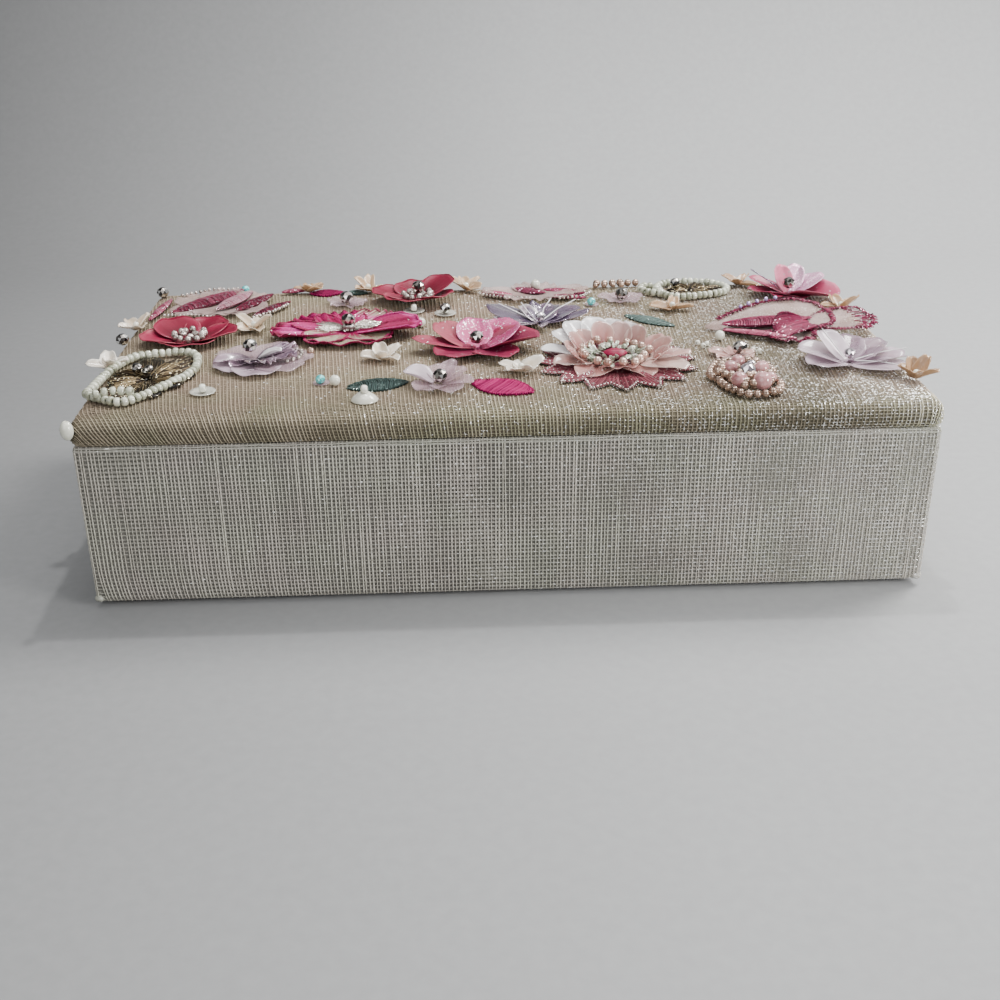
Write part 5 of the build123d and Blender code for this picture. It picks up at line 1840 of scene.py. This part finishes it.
def crystal_flower():
    """Folded petals of clear lilac film, most of them flat, with two small ones that stand, tinted near white
    as painted highlights.
    """
    centre = middle_of("crystal", (-0.5, -4.0, 0))
    made = Gathered()
    # Painted highlights: the petals with the highest tints run to near white.
    bloom(made, centre, [
        lobe(160, 9, length=15.5, width=11.0, crease=-1.4, tints=(-0.3, 0.2)),
        lobe(180, 5, length=12.5, width=6.0, wave=0.6, waves=4, tints=(0.9, 1.3)),
        lobe(124, 24, length=9.0, width=4.5, crease=1.8, tints=(0.9, 1.5)),
        lobe(98, 16, length=8.5, width=5.0, crease=-1.4, tints=(-0.2, 0.1)),
        lobe(64, 16, length=11.0, width=7.5, crease=1.6, tints=(-0.1, 0.5)),
        lobe(34, 9, length=15.0, width=8.0, crease=1.5, tints=(-0.1, 0.3)),
        lobe(10, 5, length=14.5, width=7.5, crease=-1.2, tints=(-0.3, 0.3)),
        lobe(275, 8, length=7.0, width=4.0, crease=0.6, tints=(0.7, 1.0)),
        lobe(212, 4, length=8.5, width=5.5, wave=0.4, tints=(0.3, 0.7)),
    ], lift=0.8, root=0.16, shoulder=0.4, rise=0.8, cup=0.6, wave=0.2, rows=14, columns=17)
    folds = ((150, 12.0, 17), (36, 13.0, 17), (66, 9.5, 24), (122, 8.0, 26))
    fold_highlights_on(made, centre + (0, 0, 1.3), folds, 0.5, 0.25, 1.0)
    bead_on(made, centre + (0.3, -0.5, 1.6), cut_form(3.0), 2)
    made.piece("crystal_flower_petals", [lilac_clear, white_film, clear_stone], ["crystal_flower"],
               "lilac_crystal")


# Thread-painted flower

silk_tones = {
    "left": lambda along, across, chance: (
        0.55 + 0.1 * chance - 0.34 * np.abs(across) ** 2 - 0.30 * (along > 0.92) - 0.2 * (along < 0.2)
    ),
    "back": lambda along, across, chance: 0.10 + 0.16 * chance + 0.14 * along + 0.12 * (along > 0.93),
    "ivory": lambda along, across, chance: np.where(
        chance > 0.45, 0.22 + 0.58 * np.clip(along * 1.8 - 0.5, 0, 1), 0.2 + 0.1 * chance
    ),
    "right": lambda along, across, chance: (
        0.20 + 0.10 * chance + 0.26 * (along > 0.90) + 0.18 * np.abs(across) ** 3
    ),
    "front": lambda along, across, chance: np.where(
        (along > 0.95) | (along < np.where(chance > 0.5, 0.2, 0.42 + 0.7 * chance)),
        0.14 + 0.2 * chance, 0.80 + 0.2 * chance
    ),
}


def silk_petal(made, place, number, tone, turn, tilt, width, wave=0.5, waves=5, **shape):
    """A petal in satin stitch: long stitches, short ones over them near its root, and a whipped edge."""
    surface = petal(width=width, wave=wave, waves=waves, root=0.22, shoulder=0.62, ribs=7, rib_depth=0.05,
                    **shape)
    surface = set_at(surface, spot(place, turn, 1.0, tilt))
    tint = silk_tones[tone]
    made.add(sheet_form(surface, 12, 21, 0.18), 0, 0.2)
    count = int(width * 5.2)
    stitches(made, surface, count, 0.30, 0, tint, seed=80 + number, samples=16, ragged=0.02, stand=0.15)

    def root_tint(along, across, chance):
        return tint(along * 0.6, across, chance)

    stitches(made, surface, count // 3, 0.24, 0, root_tint, seed=90 + number, end=0.6, ragged=0.3, lift=0.1,
             samples=9, stand=0.15)
    rim = rim_path(surface, 45, inset=0.0, lift=0.08)
    edge_tints = (0.40, 0.58) if tone == "right" else (0.10, 0.36)
    whipping(made, rim, 0.36, 0, 0.66, 0.14, edge_tints, 100 + number, stray=5)
    made.add(cord_form(rim, 0.42, 0.26), 0, sum(edge_tints) / 2)


def silk_flower():
    """A flower painted in satin stitch, magenta, maroon and ivory, with silver rays round a set stone."""
    centre = middle_of("silk", (0, -0.6, 0))
    made = Gathered()
    petals = (
        lobe(150, 1, tone="back", length=17.0, width=15.0, rise=0.9, cup=0.9),
        lobe(108, 2, tone="back", length=13.5, width=15.0, rise=0.9, cup=0.9),
        lobe(50, 3, tone="ivory", length=15.0, width=13.0, rise=1.0, cup=0.9),
        lobe(188, 1, tone="left", length=20.5, width=14.0, rise=1.0, cup=1.2),
        lobe(358, 3, tone="right", length=19.5, width=14.5, rise=1.2, cup=1.9, wave=0.4, waves=4),
        lobe(318, 1, tone="front", length=13.0, width=13.0, rise=0.6, cup=0.5, wave=0.4, waves=2),
        lobe(226, 1, tone="front", length=13.5, width=13.0, rise=0.6, cup=0.5, wave=0.4, waves=2),
        lobe(272, 1, tone="front", length=12.6, width=24.0, rise=0.5, cup=0.3, waves=3),
    )
    for number, lobes in enumerate(petals):
        silk_petal(made, centre + (0, 0, 0.6 + 0.06 * number), number, **lobes)
    rays = petal(9.0, 5.0, root=0.4, shoulder=0.6, rise=0.2)
    for number, turn in enumerate((12, 34, 160, 192)):
        surface = set_at(rays, spot(centre + (0, 0, 1.7), turn, 1.5, 4))
        stitches(made, surface, 11, 0.22, 1, toned(0.0, 1.0), seed=120 + number, ragged=0.3, end=0.95,
                 lift=0.15)
    ring = [centre + (2.6 * cos(t), 2.2 * sin(t), 1.9) for t in np.linspace(0, 2 * pi, 24)]
    whipping(made, ring, 0.5, 1, 1.2, 0.3, (0.0, 0.6), 111)
    for part in setting_form(3.4):
        bead_on(made, centre + (0, 0, 1.9), part, 2, 0.0, turn=90, tilt=-14)
    bead_on(made, centre + (0, 0, 2.5), cut_form(4.2), 3, turn=90, tilt=-14)
    made.piece("silk_flower_stitches", [silk_floss, silver_thread, silver_setting, silver_bead],
               ["silk_thread_flower"], "silk_thread")


# Coral and pink flowers

def coral_flower():
    centre = middle_of("coral", (0.8, -2.2, 0))
    made = Gathered()
    bloom(made, centre, [
        lobe(142, 13, length=14.5, width=11.0, tints=(0.55, 1.05)),
        lobe(98, 18, length=12.0, width=10.0, slot=1, tints=(0.4, 1.0)),
        lobe(46, 13, length=14.5, width=13.0, slot=1, cup=1.6, tints=(0.3, 0.9), ribs=13, rib_depth=0.12),
        lobe(4, 5, length=16.5, width=13.0, cup=2.6, tints=(-0.1, 0.6), level=0.3),
        lobe(308, -1, length=13.5, width=12.0, level=0.3, tints=(0.05, 0.7)),
        lobe(222, -1, length=13.5, width=12.5, level=0.2, tints=(0.05, 0.7)),
        lobe(180, 4, length=17.5, width=7.5, cup=0.5, level=0.6, tints=(0.3, 0.95)),
    ], root=0.22, shoulder=0.5, rise=1.2, cup=1.1, curl=0.6, wave=0.25, ribs=7, rib_depth=0.05, rows=15,
        columns=25)
    made.piece("coral_flower_petals", [coral_film, coral_foil], ["coral_flower"], "coral_sequin")


def pink_flower():
    centre = middle_of("pink_back", (1.4, -1.0, 0))
    made = Gathered()
    bloom(made, centre, [
        lobe(324, 1, length=15.5, width=15.0, cup=3.0, tints=(0.1, 0.9), level=0.4),
        lobe(14, 20, length=12.0, width=10.0, slot=1, tints=(0.3, 1.0)),
        lobe(62, 36, length=10.5, width=7.5, slot=1, tints=(0.6, 1.0)),
        lobe(104, 44, length=9.5, width=6.0, tints=(0.7, 1.1)),
        lobe(160, 15, length=12.5, width=7.0, tints=(0.2, 0.9)),
        lobe(188, 4, length=12.5, width=7.0, tints=(0.0, 0.5)),
        # The low front-left petals are tinted darkest: partly their crimson, partly painted shade below the
        # flower.
        lobe(242, length=8.5, width=9.0, tints=(-0.2, 0.2)),
        lobe(290, length=9.5, width=9.0, tints=(-0.2, 0.3), level=0.2),
    ], root=0.24, shoulder=0.5, rise=0.8, cup=1.0, curl=0.5, wave=0.25, columns=15)
    stem = centre + (-3.5, 1.0, 2.5)
    made.add(cord_form([stem, stem + (-4.0, 1.5, 2.6), stem + (-7.5, 3.0, 4.6)], 0.8, 0.4), 2, 0.1)
    made.piece("pink_flower_petals", [rose_film, glitter_foil, lilac_clear], ["pink_flower_back"],
               "pink_sequin")


# Sunburst flower

sunburst_reach = 21.0
sunburst_rays = 15
notch_share = 0.76


def sunburst_base(centre):
    """A star of rose stitches, its points edged with tiny beads and silver thread."""
    made = Gathered()
    corners = []
    for number in range(2 * sunburst_rays):
        angle = pi * (number + 0.5) / sunburst_rays
        reach = sunburst_reach * (notch_share if number % 2 else 1.0)
        corners.append((reach * cos(angle), reach * sin(angle), 0))
    star = np.array(corners)
    rings = [0.35, 0.6, 0.8, 1.0]
    grid = np.array([star * share + (0, 0, 0.35 + 0.5 * (1 - share)) for share in rings]) + centre
    faces = [grid_faces(len(rings), len(star), wrap=True)[:, ::-1], np.arange(len(star))[None, :]]
    made.add((grid.reshape(-1, 3), faces), 0, 0.2)
    ray = petal(sunburst_reach * 0.54, sunburst_reach * 0.42, root=0.75, shoulder=0.0, rise=-0.2)
    for number in range(sunburst_rays):
        turn = degrees(pi * (2 * number + 0.5) / sunburst_rays)
        surface = set_at(ray, spot(centre + (0, 0, 0.75), turn, sunburst_reach * 0.455))
        stitches(made, surface, 27, 0.32, 0, toned(0.2, 0.8), seed=140 + number, lift=0.05, reach=0.96,
                 stand=0.18)
    edge = [centre + corner * 1.01 + (0, 0, 0.2) for corner in star]
    string_beads(made, edge, seed_form(0.85, 0.75, sides=7), 1.15, 1, closed=True, seed=132, sway=35)
    whipping(made, edge + [edge[0]], 0.62, 2, 0.9, 0.3, (0.0, 0.7), 133)
    made.piece("sunburst_base_stitches", [rose_floss, dark_lined_bead, silver_thread], ["sunburst_base"],
               "rose_embroidery")


def sunburst_petals(centre):
    """Clear peach petals: round ones that stand behind, longer creased ones that lie in front."""
    random = np.random.default_rng(131)
    made = Gathered()
    petals = []
    for number in range(10):
        petals.append(lobe(
            -24 + 228 * number / 9, 38 + random.normal(0, 7), roll=random.normal(0, 9),
            length=6.6 * random.uniform(0.85, 1.12), width=7.4 * random.uniform(0.9, 1.1),
            tints=(random.uniform(0.0, 0.35), random.uniform(0.6, 1.0)), level=0.4 * (number % 2),
        ))
    bloom(made, centre, petals, lift=0.8, out=9.8, root=0.35, shoulder=0.4, rise=0.6, cup=1.0, curl=0.4,
          wave=0.2, thickness=0.12)
    bloom(made, centre, [
        lobe(202, 6, length=10.5, width=9.0, out=7.4, crease=0.9, tints=(0.5, 1.1)),
        lobe(236, 1, length=11.0, width=10.5, out=6.6, crease=1.2, tints=(0.0, 0.7)),
        lobe(270, 8, length=7.5, width=9.0, out=7.0, crease=-0.6, tints=(0.0, 0.4)),
        lobe(297, 1, length=9.5, width=9.0, out=7.0, crease=1.2, tints=(0.2, 0.9)),
        lobe(328, 3, length=13.0, width=11.0, out=7.6, crease=0.5, tints=(0.7, 1.2)),
        lobe(352, 8, length=11.5, width=7.5, out=8.5, tints=(0.4, 1.0)),
    ], lift=1.2, root=0.35, shoulder=0.4, rise=0.5, cup=0.6, wave=0.35, thickness=0.1)
    made.piece("sunburst_petal_sequins", [peach_film], ["sunburst_petals"], "peach_sequin")


def mint_chips(centre):
    """Crumpled scraps of mint foil, heaped in a ring."""
    random = np.random.default_rng(137)
    made = Gathered()
    for _ in range(90):
        shape = petal(random.uniform(1.4, 2.6), random.uniform(1.0, 1.9), root=0.6, shoulder=0.7, wave=0.4,
                      crease=random.uniform(-0.5, 0.5))
        place = spot(centre + (0, 0, random.uniform(1.2, 2.4)), random.uniform(0, 360),
                     random.uniform(3.4, 7.4), random.uniform(-10, 55), random.uniform(-50, 50))
        made.add(sheet_form(set_at(shape, place), 4, 5, 0.1), 0, random.uniform(0, 1))
    made.piece("sunburst_mint_chips", [mint_foil], ["sunburst_mint_beads"], "mint_glass")


def satin_button(centre):
    """A crimson satin button: a low dome, a little shallower than wide, under level stitches."""
    radius, depth_share, height = 3.3, 0.86, 1.4
    profile = [(0.05, -0.3), (radius * 0.92, -0.3), (radius, 0.0)]
    for angle in np.linspace(0.3, pi / 2 - 0.05, 5):
        profile.append((radius * cos(angle), height * sin(angle)))
    points, faces = revolved(profile, 28)
    made = Gathered()
    made.add((points * (1.0, depth_share, 1.0) + centre + (0, 0, 1.6), faces), 0, 0.4)
    flat = set_at(lens(2 * radius, 2 * radius, 0.0), spot(centre + (-radius, 0, 1.6)))

    def dome(along, across):
        place = flat(along, across)
        away = np.hypot((place[..., 0] - centre[0]) / radius, (place[..., 1] - centre[1]) / radius)
        place[..., 1] = centre[1] + (place[..., 1] - centre[1]) * depth_share
        place[..., 2] += height * np.sqrt(np.clip(1 - away**2, 0, 1)) + 0.05
        return place

    stitches(made, dome, 30, 0.32, 0, toned(0.2, 0.8), seed=136, begin=0.05, end=0.95, ragged=0.05, samples=9)
    made.piece("sunburst_satin_centre", [crimson_floss], ["sunburst_centre"], "crimson_satin")


def sunburst():
    """The star and its petals, a ring of pearls round the button, and loose white discs at its upper left."""
    centre = middle_of("sunburst")
    sunburst_base(centre + (0, -2.4, 0))
    sunburst_petals(centre)
    made = Gathered()
    ring_of(made, centre, pearl_form(2.3), 9.0, 16, lift=1.5, seed=134, tilt=16, stray=0.5)
    made.piece("sunburst_pearl_ring", [blush_pearl], ["sunburst_pearls"], "rose_pearl")
    mint_chips(centre)
    satin_button(centre)
    made = Gathered()
    bloom(made, centre + (-0.6, 2.6, 0), [
        lobe(150, 26, out=9.5, length=9.0, width=7.8, tints=(0.5, 1.0)),
        lobe(128, 32, out=9.8, length=9.5, width=8.2, tints=(0.6, 1.1)),
        lobe(104, 38, out=10.6, length=8.6, width=8.0, tints=(0.7, 1.2)),
        lobe(176, 8, out=9.8, length=9.4, width=6.4, tints=(0.7, 1.2)),
        lobe(84, 40, out=11.0, length=7.5, width=7.6, tints=(0.1, 0.6)),
        lobe(66, 36, out=11.0, length=7.0, width=7.0, tints=(-0.1, 0.4)),
    ], lift=0.6, root=0.45, shoulder=0.5, rise=0.6, cup=1.3, wave=0.2)
    made.piece("sunburst_white_discs", [white_film], ["sunburst_white_sequins"], "white_sequin")


# Pearl cluster

cluster_reach = (8.2, 12.0)
cluster_shares = (
    (-1.00, 0.18), (-0.75, 0.70), (-0.45, 1.00), (0.05, 0.92), (0.35, 1.00), (0.78, 0.88), (1.00, 0.45),
    (0.90, 0.02), (0.98, -0.40), (0.78, -0.85), (0.20, -1.05), (-0.35, -0.98), (-0.70, -0.58), (-0.85, -0.15),
)
cluster_rings = ((-0.45, -0.05), (0.45, -0.05), (0.05, -0.55))


def cluster():
    """Strings of pearls round a patch, small rings of them within it, and large beads between those."""
    centre = middle_of("cluster", (-0.6, -0.4, 0))
    reach_x, reach_y = cluster_reach
    made = Gathered()
    pearl = pearl_form(2.15)
    outer = loop_path(centre, cluster_reach, cluster_shares, 0.2)
    inner = loop_path(centre, (reach_x * 0.72, reach_y * 0.76), cluster_shares, 1.2)
    string_beads(made, outer, pearl, 2.1, closed=True, seed=151)
    string_beads(made, inner, pearl, 2.3, closed=True, seed=152)
    for number, (x, y) in enumerate(cluster_rings):
        middle = centre + (x * reach_x, y * reach_y, 0)
        ring_of(made, middle, pearl, 3.0, 8, lift=1.8, seed=161 + number, stray=0.3)
    made.piece("cluster_pearl_strings", [champagne_pearl], ["cluster_pearls"], "rose_pearl")
    made = Gathered()
    large = (
        (-3.4, 1.4, 4.0), (4.2, 0.8, 4.0), (-3.0, -7.6, 4.2), (2.4, -8.9, 4.8), (0.1, 6.6, 3.8),
        (5.4, -4.8, 3.0),
    )
    for x, y, size in large:
        bead_on(made, centre + (x, y, 1.0), pearl_form(size, 0.14), tint=0.5 + 0.05 * x, turn=x * 40, tilt=10)
    bead_on(made, centre + (0.4, -1.8, 1.6), cut_form(4.4), 1)
    bead_on(made, centre + (2.6, 3.8, 1.8), cut_form(2.8), 1)
    made.piece("cluster_large_beads", [rose_bead, clear_stone], ["cluster_rose_beads"], "rose_glass")


# Small flowers, leaves and single beads. A third number with shell places is their tone, from peach to cream.

shell_shares = (
    (-0.306, -0.262, 0.9), (0.036, -0.482, 1.0), (-0.664, 0.268, 0.75), (-0.982, 0.300, 0.8),
    (-0.982, -0.300, 0.95), (-0.548, 0.945, 0.15), (-0.375, 0.940, 0.4), (-0.086, 0.925, 0.45),
    (0.487, 0.462, 0.2), (0.724, 0.918, 0.1), (0.955, 0.405, 0.15), (0.972, -0.690, 0.05),
)
bead_base_shares = ((0.573, -0.330), (-0.427, 0.673))
teal_leaf_shares = (
    ((-0.378, -0.645), (-0.246, -0.585)), ((0.352, 0.372), (0.462, 0.180)),
    ((-0.436, 0.905), (-0.380, 0.900)),
)
pink_leaf_shares = (((-0.086, -0.600), (0.056, -0.762)), ((-0.545, 0.905), (-0.448, 0.915)))
pearl_row_shares = ((0.302, 0.940), (0.418, 0.945))
loose_pearl_shares = ((-0.214, 0.256), (0.566, -0.066), (-0.412, -0.602))
cup_shares = ((-0.336, -0.800), (-0.719, -0.668), (-0.236, 0.524), (-0.148, 0.462))
aqua_shares = ((-0.446, -0.573), (-0.735, 0.962), (0.268, 0.585))
edge_bead_shares = ((-0.972, 0.905), (-0.990, 0.060))
edge_start = 0.96


def shell_flowers():
    """Four or five pinched petals round a tiny pearl, steeper at the lid's right edge."""
    made = Gathered()
    random = np.random.default_rng(171)
    for x, y, tone in shell_shares:
        centre = on_lid((x, y))
        turn = random.uniform(0, 360)
        count = 4 + int(random.uniform(0, 2))
        petals = []
        for number in range(count):
            petals.append(lobe(
                turn + 360 * number / count, random.uniform(6, 44) + 22 * (x > edge_start),
                roll=random.normal(0, 12), length=5.8 * random.uniform(0.85, 1.2),
                width=4.0 * random.uniform(0.8, 1.15), crease=random.uniform(0.2, 1.0),
                notch=random.uniform(0, 0.2), tints=(tone - 0.25, tone + 0.15),
            ))
        bloom(made, centre, petals, lift=0.4, out=0.3, root=0.34, shoulder=0.30, rise=0.5, cup=0.9, wave=0.35,
              thickness=0.2, rows=9, columns=11)
        bead_on(made, centre + (0, 0, 0.8), pearl_form(1.8), 1, 0.6)
    made.piece("shell_flower_petals", [shell_film, ivory_pearl], ["shell_flowers"], "shell")


def bead_bases():
    """Six petals under each of two cut beads, one set peach and one lilac, and a few beads near the first."""
    made = Gathered()
    petals = ((15, 5.6), (85, 4.6), (150, 6.4), (215, 5.0), (290, 5.6), (335, 5.0))
    for number, shares in enumerate(bead_base_shares):
        lobes = [lobe(turn, 3, length=length, slot=number, tints=(0.3, 0.9)) for turn, length in petals]
        bloom(made, on_lid(shares), lobes, width=5.0, root=0.34, shoulder=0.5, rise=0.5, cup=0.5, wave=0.4)
    centre = on_lid(bead_base_shares[0])
    bead = seed_form(1.5, 1.2, sides=10)
    for x, y in ((-6.5, 8.0), (-5.2, 9.6), (-7.6, 10.6), (6.0, 3.6), (7.6, 2.6)):
        bead_on(made, centre + (x, y, 0), bead, 2, 0.7, turn=40 * x)
    made.piece("bead_base_petals", [peach_film, lilac_sheer, ivory_pearl], ["bead_base_flowers"],
               "pink_sequin")


def leaf_between(made, ends, longer, width_share, tone, rows, seed):
    """A satin-stitch leaf between two places on the lid, longer at both ends by a share of its length."""
    start, end = (on_lid(shares) for shares in ends)
    width = max(3.4, np.linalg.norm(end - start) * width_share)
    reach = longer * (end - start)[:2]
    return lens_of(made, start[:2] - reach, end[:2] + reach, width, 0, tone, 0.15, rows, seed)


def leaves():
    made = Gathered()
    looks = ((0.60, 0.1), (0.36, 0.45), (0.36, 0.45))
    for number, (ends, (width_share, base)) in enumerate(zip(teal_leaf_shares, looks)):
        leaf_between(made, ends, 0.06, width_share, toned(base, 0.5, by_edge=0.15), 2.6, 180 + number)
    made.piece("teal_leaf_stitches", [teal_floss], ["teal_leaves"], "teal_satin")
    made = Gathered()
    tones = (toned(0.3, 0.6), toned(0.0, 0.3))
    share = np.linspace(0.02, 0.98, 40)
    for number, (ends, tone) in enumerate(zip(pink_leaf_shares, tones)):
        surface = leaf_between(made, ends, 0.0, 0.60, tone, 2.8, 190 + number)
        for side in (-1.0, 1.0):
            rim = surface(share, np.full(len(share), side)) + (0, 0, 0.15)
            whipping(made, rim, 0.55, 0, 0.8, 0.2, (0.1, 0.6), 195 + number)
    made.piece("pink_leaf_stitches", [magenta_floss], ["pink_leaves"], "magenta_satin")


def single_beads():
    """The row of pearls, loose pearls, cup sequins, aqua crystals and the large pearl at the corner."""
    made = Gathered()
    start, end = (on_lid(shares) for shares in pearl_row_shares)
    string_beads(made, [start, end], pearl_form(2.4), 1.95, seed=201)
    lower = [start + (-0.6, -2.0, 0.2), (start + end) / 2 + (1.5, -2.4, 0.4)]
    string_beads(made, lower, pearl_form(1.9), 2.0, seed=203)
    made.piece("pearl_row_beads", [champagne_pearl], ["pearl_row"], "rose_pearl")

    made = Gathered()
    for shares in loose_pearl_shares:
        bead_on(made, on_lid(shares), pearl_form(2.8), tint=0.6)
    for shares, height in zip(cup_shares, (1.75, 0.35, 0.35)):
        bead_on(made, on_lid(shares, height), seed_form(2.2, 1.7), tint=0.8)
    made.piece("loose_pearl_beads", [ivory_pearl], ["loose_pearls"], "white_pearl")

    made = Gathered()
    dome = disc_form(3.4, 0.22, dish=-2.0, hole_share=0.14)
    disc = disc_form(3.2, 0.18, dish=0.5, hole_share=0.14)
    bead_on(made, on_lid(cup_shares[0], 2.1), dome, tint=0.6)
    for number, shares in enumerate(cup_shares[1:]):
        bead_on(made, on_lid(shares, 0.05), disc, 1, 0.7 + 0.1 * number)
    made.piece("cup_sequin_discs", [cup_film, clear_disc_film], ["cup_sequins"], "white_sequin")

    made = Gathered()
    for shares in aqua_shares:
        bead_on(made, on_lid(shares, 0.1), cut_form(2.7), turn=20, tilt=10)
        bead_on(made, on_lid(shares, 0.02), disc_form(2.2, 0.12, dish=0.3), 1, 0.6)
    made.piece("aqua_stones", [aqua_stone, lilac_sheer], ["aqua_crystals"], "aqua_glass")

    made = Gathered()
    low, high = box_mm("corner_pearl")
    middle = (low + high) / 2
    points, faces = pearl_form(high[2] - low[2])
    bead_on(made, (middle[0] + 0.4, middle[1], low[2] + 0.3), (points * (1.25, 1.2, 1.9), faces), tint=0.4)
    made.piece("corner_pearl_bead", [ivory_pearl], ["corner_pearl"], "white_pearl")


def faceted_beads():
    """One cut silver bead at the middle of most flowers, each on what lies under it."""
    made = Gathered()
    shifts = {
        "lilac_left": (-3.0, 2.0, 2.6), "coral": (0.8, -2.2, 2.2), "small_lilac": (0.4, -0.6, 1.0),
        "small_lilac_back": (0, 0, 0.7), "pink_back": (1.4, -1.0, 2.2), "red_back": (0, 0.4, 2.6),
    }
    for number, (key, shift) in enumerate(shifts.items()):
        bead_on(made, middle_of(key, shift), cut_form(4.1), turn=23 * number, tilt=12)
    bead_on(made, middle_of("lilac_right", (0.4, -3.4, 1.6)), cut_form(3.2), 1, turn=10)
    for number, shares in enumerate(bead_base_shares):
        middle = on_lid(shares, 0.9) + (1.8 * (number == 0), 0, 0)
        bead_on(made, middle, cut_form(4.2), turn=31 * number, tilt=8)
    bead_on(made, on_lid(cup_shares[3], 0.4), cut_form(3.6), turn=11)
    for number, shares in enumerate(edge_bead_shares):
        bead_on(made, on_lid(shares), cut_form(3.8), turn=17 * number)
    made.piece("cut_silver_beads", [silver_bead, clear_stone], ["faceted_beads"], "silver_bead")


def ornament():
    bead_loops()
    red_flowers()
    organza_left()
    organza_back()
    organza_right()
    lilac_left()
    lilac_right()
    small_lilacs()
    crystal_flower()
    silk_flower()
    coral_flower()
    pink_flower()
    sunburst()
    cluster()
    shell_flowers()
    bead_bases()
    leaves()
    single_beads()
    faceted_beads()


wall_ground(wall_threads())
corner_folds()
wall_hem()
lid_ground(lid_threads())
soft_pieces()
hinge_strip()
finish_frame_nodes()
ornament()


# Floor, light and camera

def floor():
    """Grey paper that runs out in front and rises behind the box in one soft bend, darker to the left as
    painted shade.
    """
    reach = 4400.0
    wall_back = 420.0
    bend = 160.0
    profile = [(-reach, 0.0)]
    for angle in np.linspace(0, pi / 2, 17):
        profile.append((wall_back - bend + bend * sin(angle), bend - bend * cos(angle)))
    profile.append((wall_back, reach))
    made = Gathered()
    points = [(x, y, z) for y, z in profile for x in (-reach, reach)]
    made.add((points, [grid_faces(len(profile), 2)]))
    shader = Shader("Backdrop paper", roughness=0.9)
    grain = shader.noise(3.0, detail=4)
    paper = shader.ramp(grain, [(0.3, (0.335, 0.34, 0.345)), (0.7, (0.36, 0.365, 0.37))])
    # Painted shade: the paper grows darker towards the left, away from the light.
    painted_shade_stops = [(0.0, 0.42), (0.35, 0.66), (0.65, 0.93), (1.0, 1.0)]
    shader.link(shader.shaded(1.0, paper, shader.across("X", -260.0, 200.0), painted_shade_stops), "Base Color")
    shader.bump(grain, 0.1, 0.4)
    made.piece("backdrop", [shader.material], body=None)


def area_light(name, place, target, size, power, colour=(1, 1, 1)):
    data = bpy.data.lights.new(name, "AREA")
    data.shape = "DISK"
    data.size = size * MM
    data.energy = power
    data.color = colour
    lamp = bpy.data.objects.new(name, data)
    lamp.location = Vector(place) * MM
    lamp.rotation_mode = "QUATERNION"
    lamp.rotation_quaternion = (Vector(target) - Vector(place)).to_track_quat("-Z", "Y")
    bpy.context.scene.collection.objects.link(lamp)


def light():
    world = bpy.data.worlds.new("Room")
    world.use_nodes = True
    background = world.node_tree.nodes["Background"]
    background.inputs["Color"].default_value = (0.95, 0.97, 1.0, 1)
    background.inputs["Strength"].default_value = 0.33
    bpy.context.scene.world = world
    area_light("Window", (400, 200, 560), (20, 0, 40), 300, 6.6, (1.0, 0.985, 0.96))
    area_light("Ceiling", (0, 60, 700), (0, 0, 0), 600, 3.4)
    area_light("Side", (560, -380, 260), (20, 0, 30), 260, 4.4, (1.0, 0.99, 0.97))
    area_light("Fill", (-250, -620, 420), (0, 0, 20), 600, 1.8)
    area_light("Glint", (40, 120, 620), (0, 0, 50), 24, 1.5)


def camera():
    data = bpy.data.cameras.new("Camera")
    data.lens = camera_lens
    data.sensor_width = sensor_width
    data.clip_start = 0.01
    data.clip_end = 10.0
    level_reach = cos(camera_pitch)
    forward = np.array([sin(camera_yaw) * level_reach, cos(camera_yaw) * level_reach, -sin(camera_pitch)])
    level = np.array([cos(camera_yaw), -sin(camera_yaw), 0.0])
    upright = np.cross(level, forward)
    right = cos(camera_roll) * level + sin(camera_roll) * upright
    up = -sin(camera_roll) * level + cos(camera_roll) * upright
    matrix = Matrix.Identity(4)
    for row in range(3):
        matrix[row][:] = right[row], up[row], -forward[row], camera_place[row] * MM
    rig = bpy.data.objects.new("Camera", data)
    rig.matrix_world = matrix
    bpy.context.scene.collection.objects.link(rig)
    bpy.context.scene.camera = rig


floor()
light()
camera()
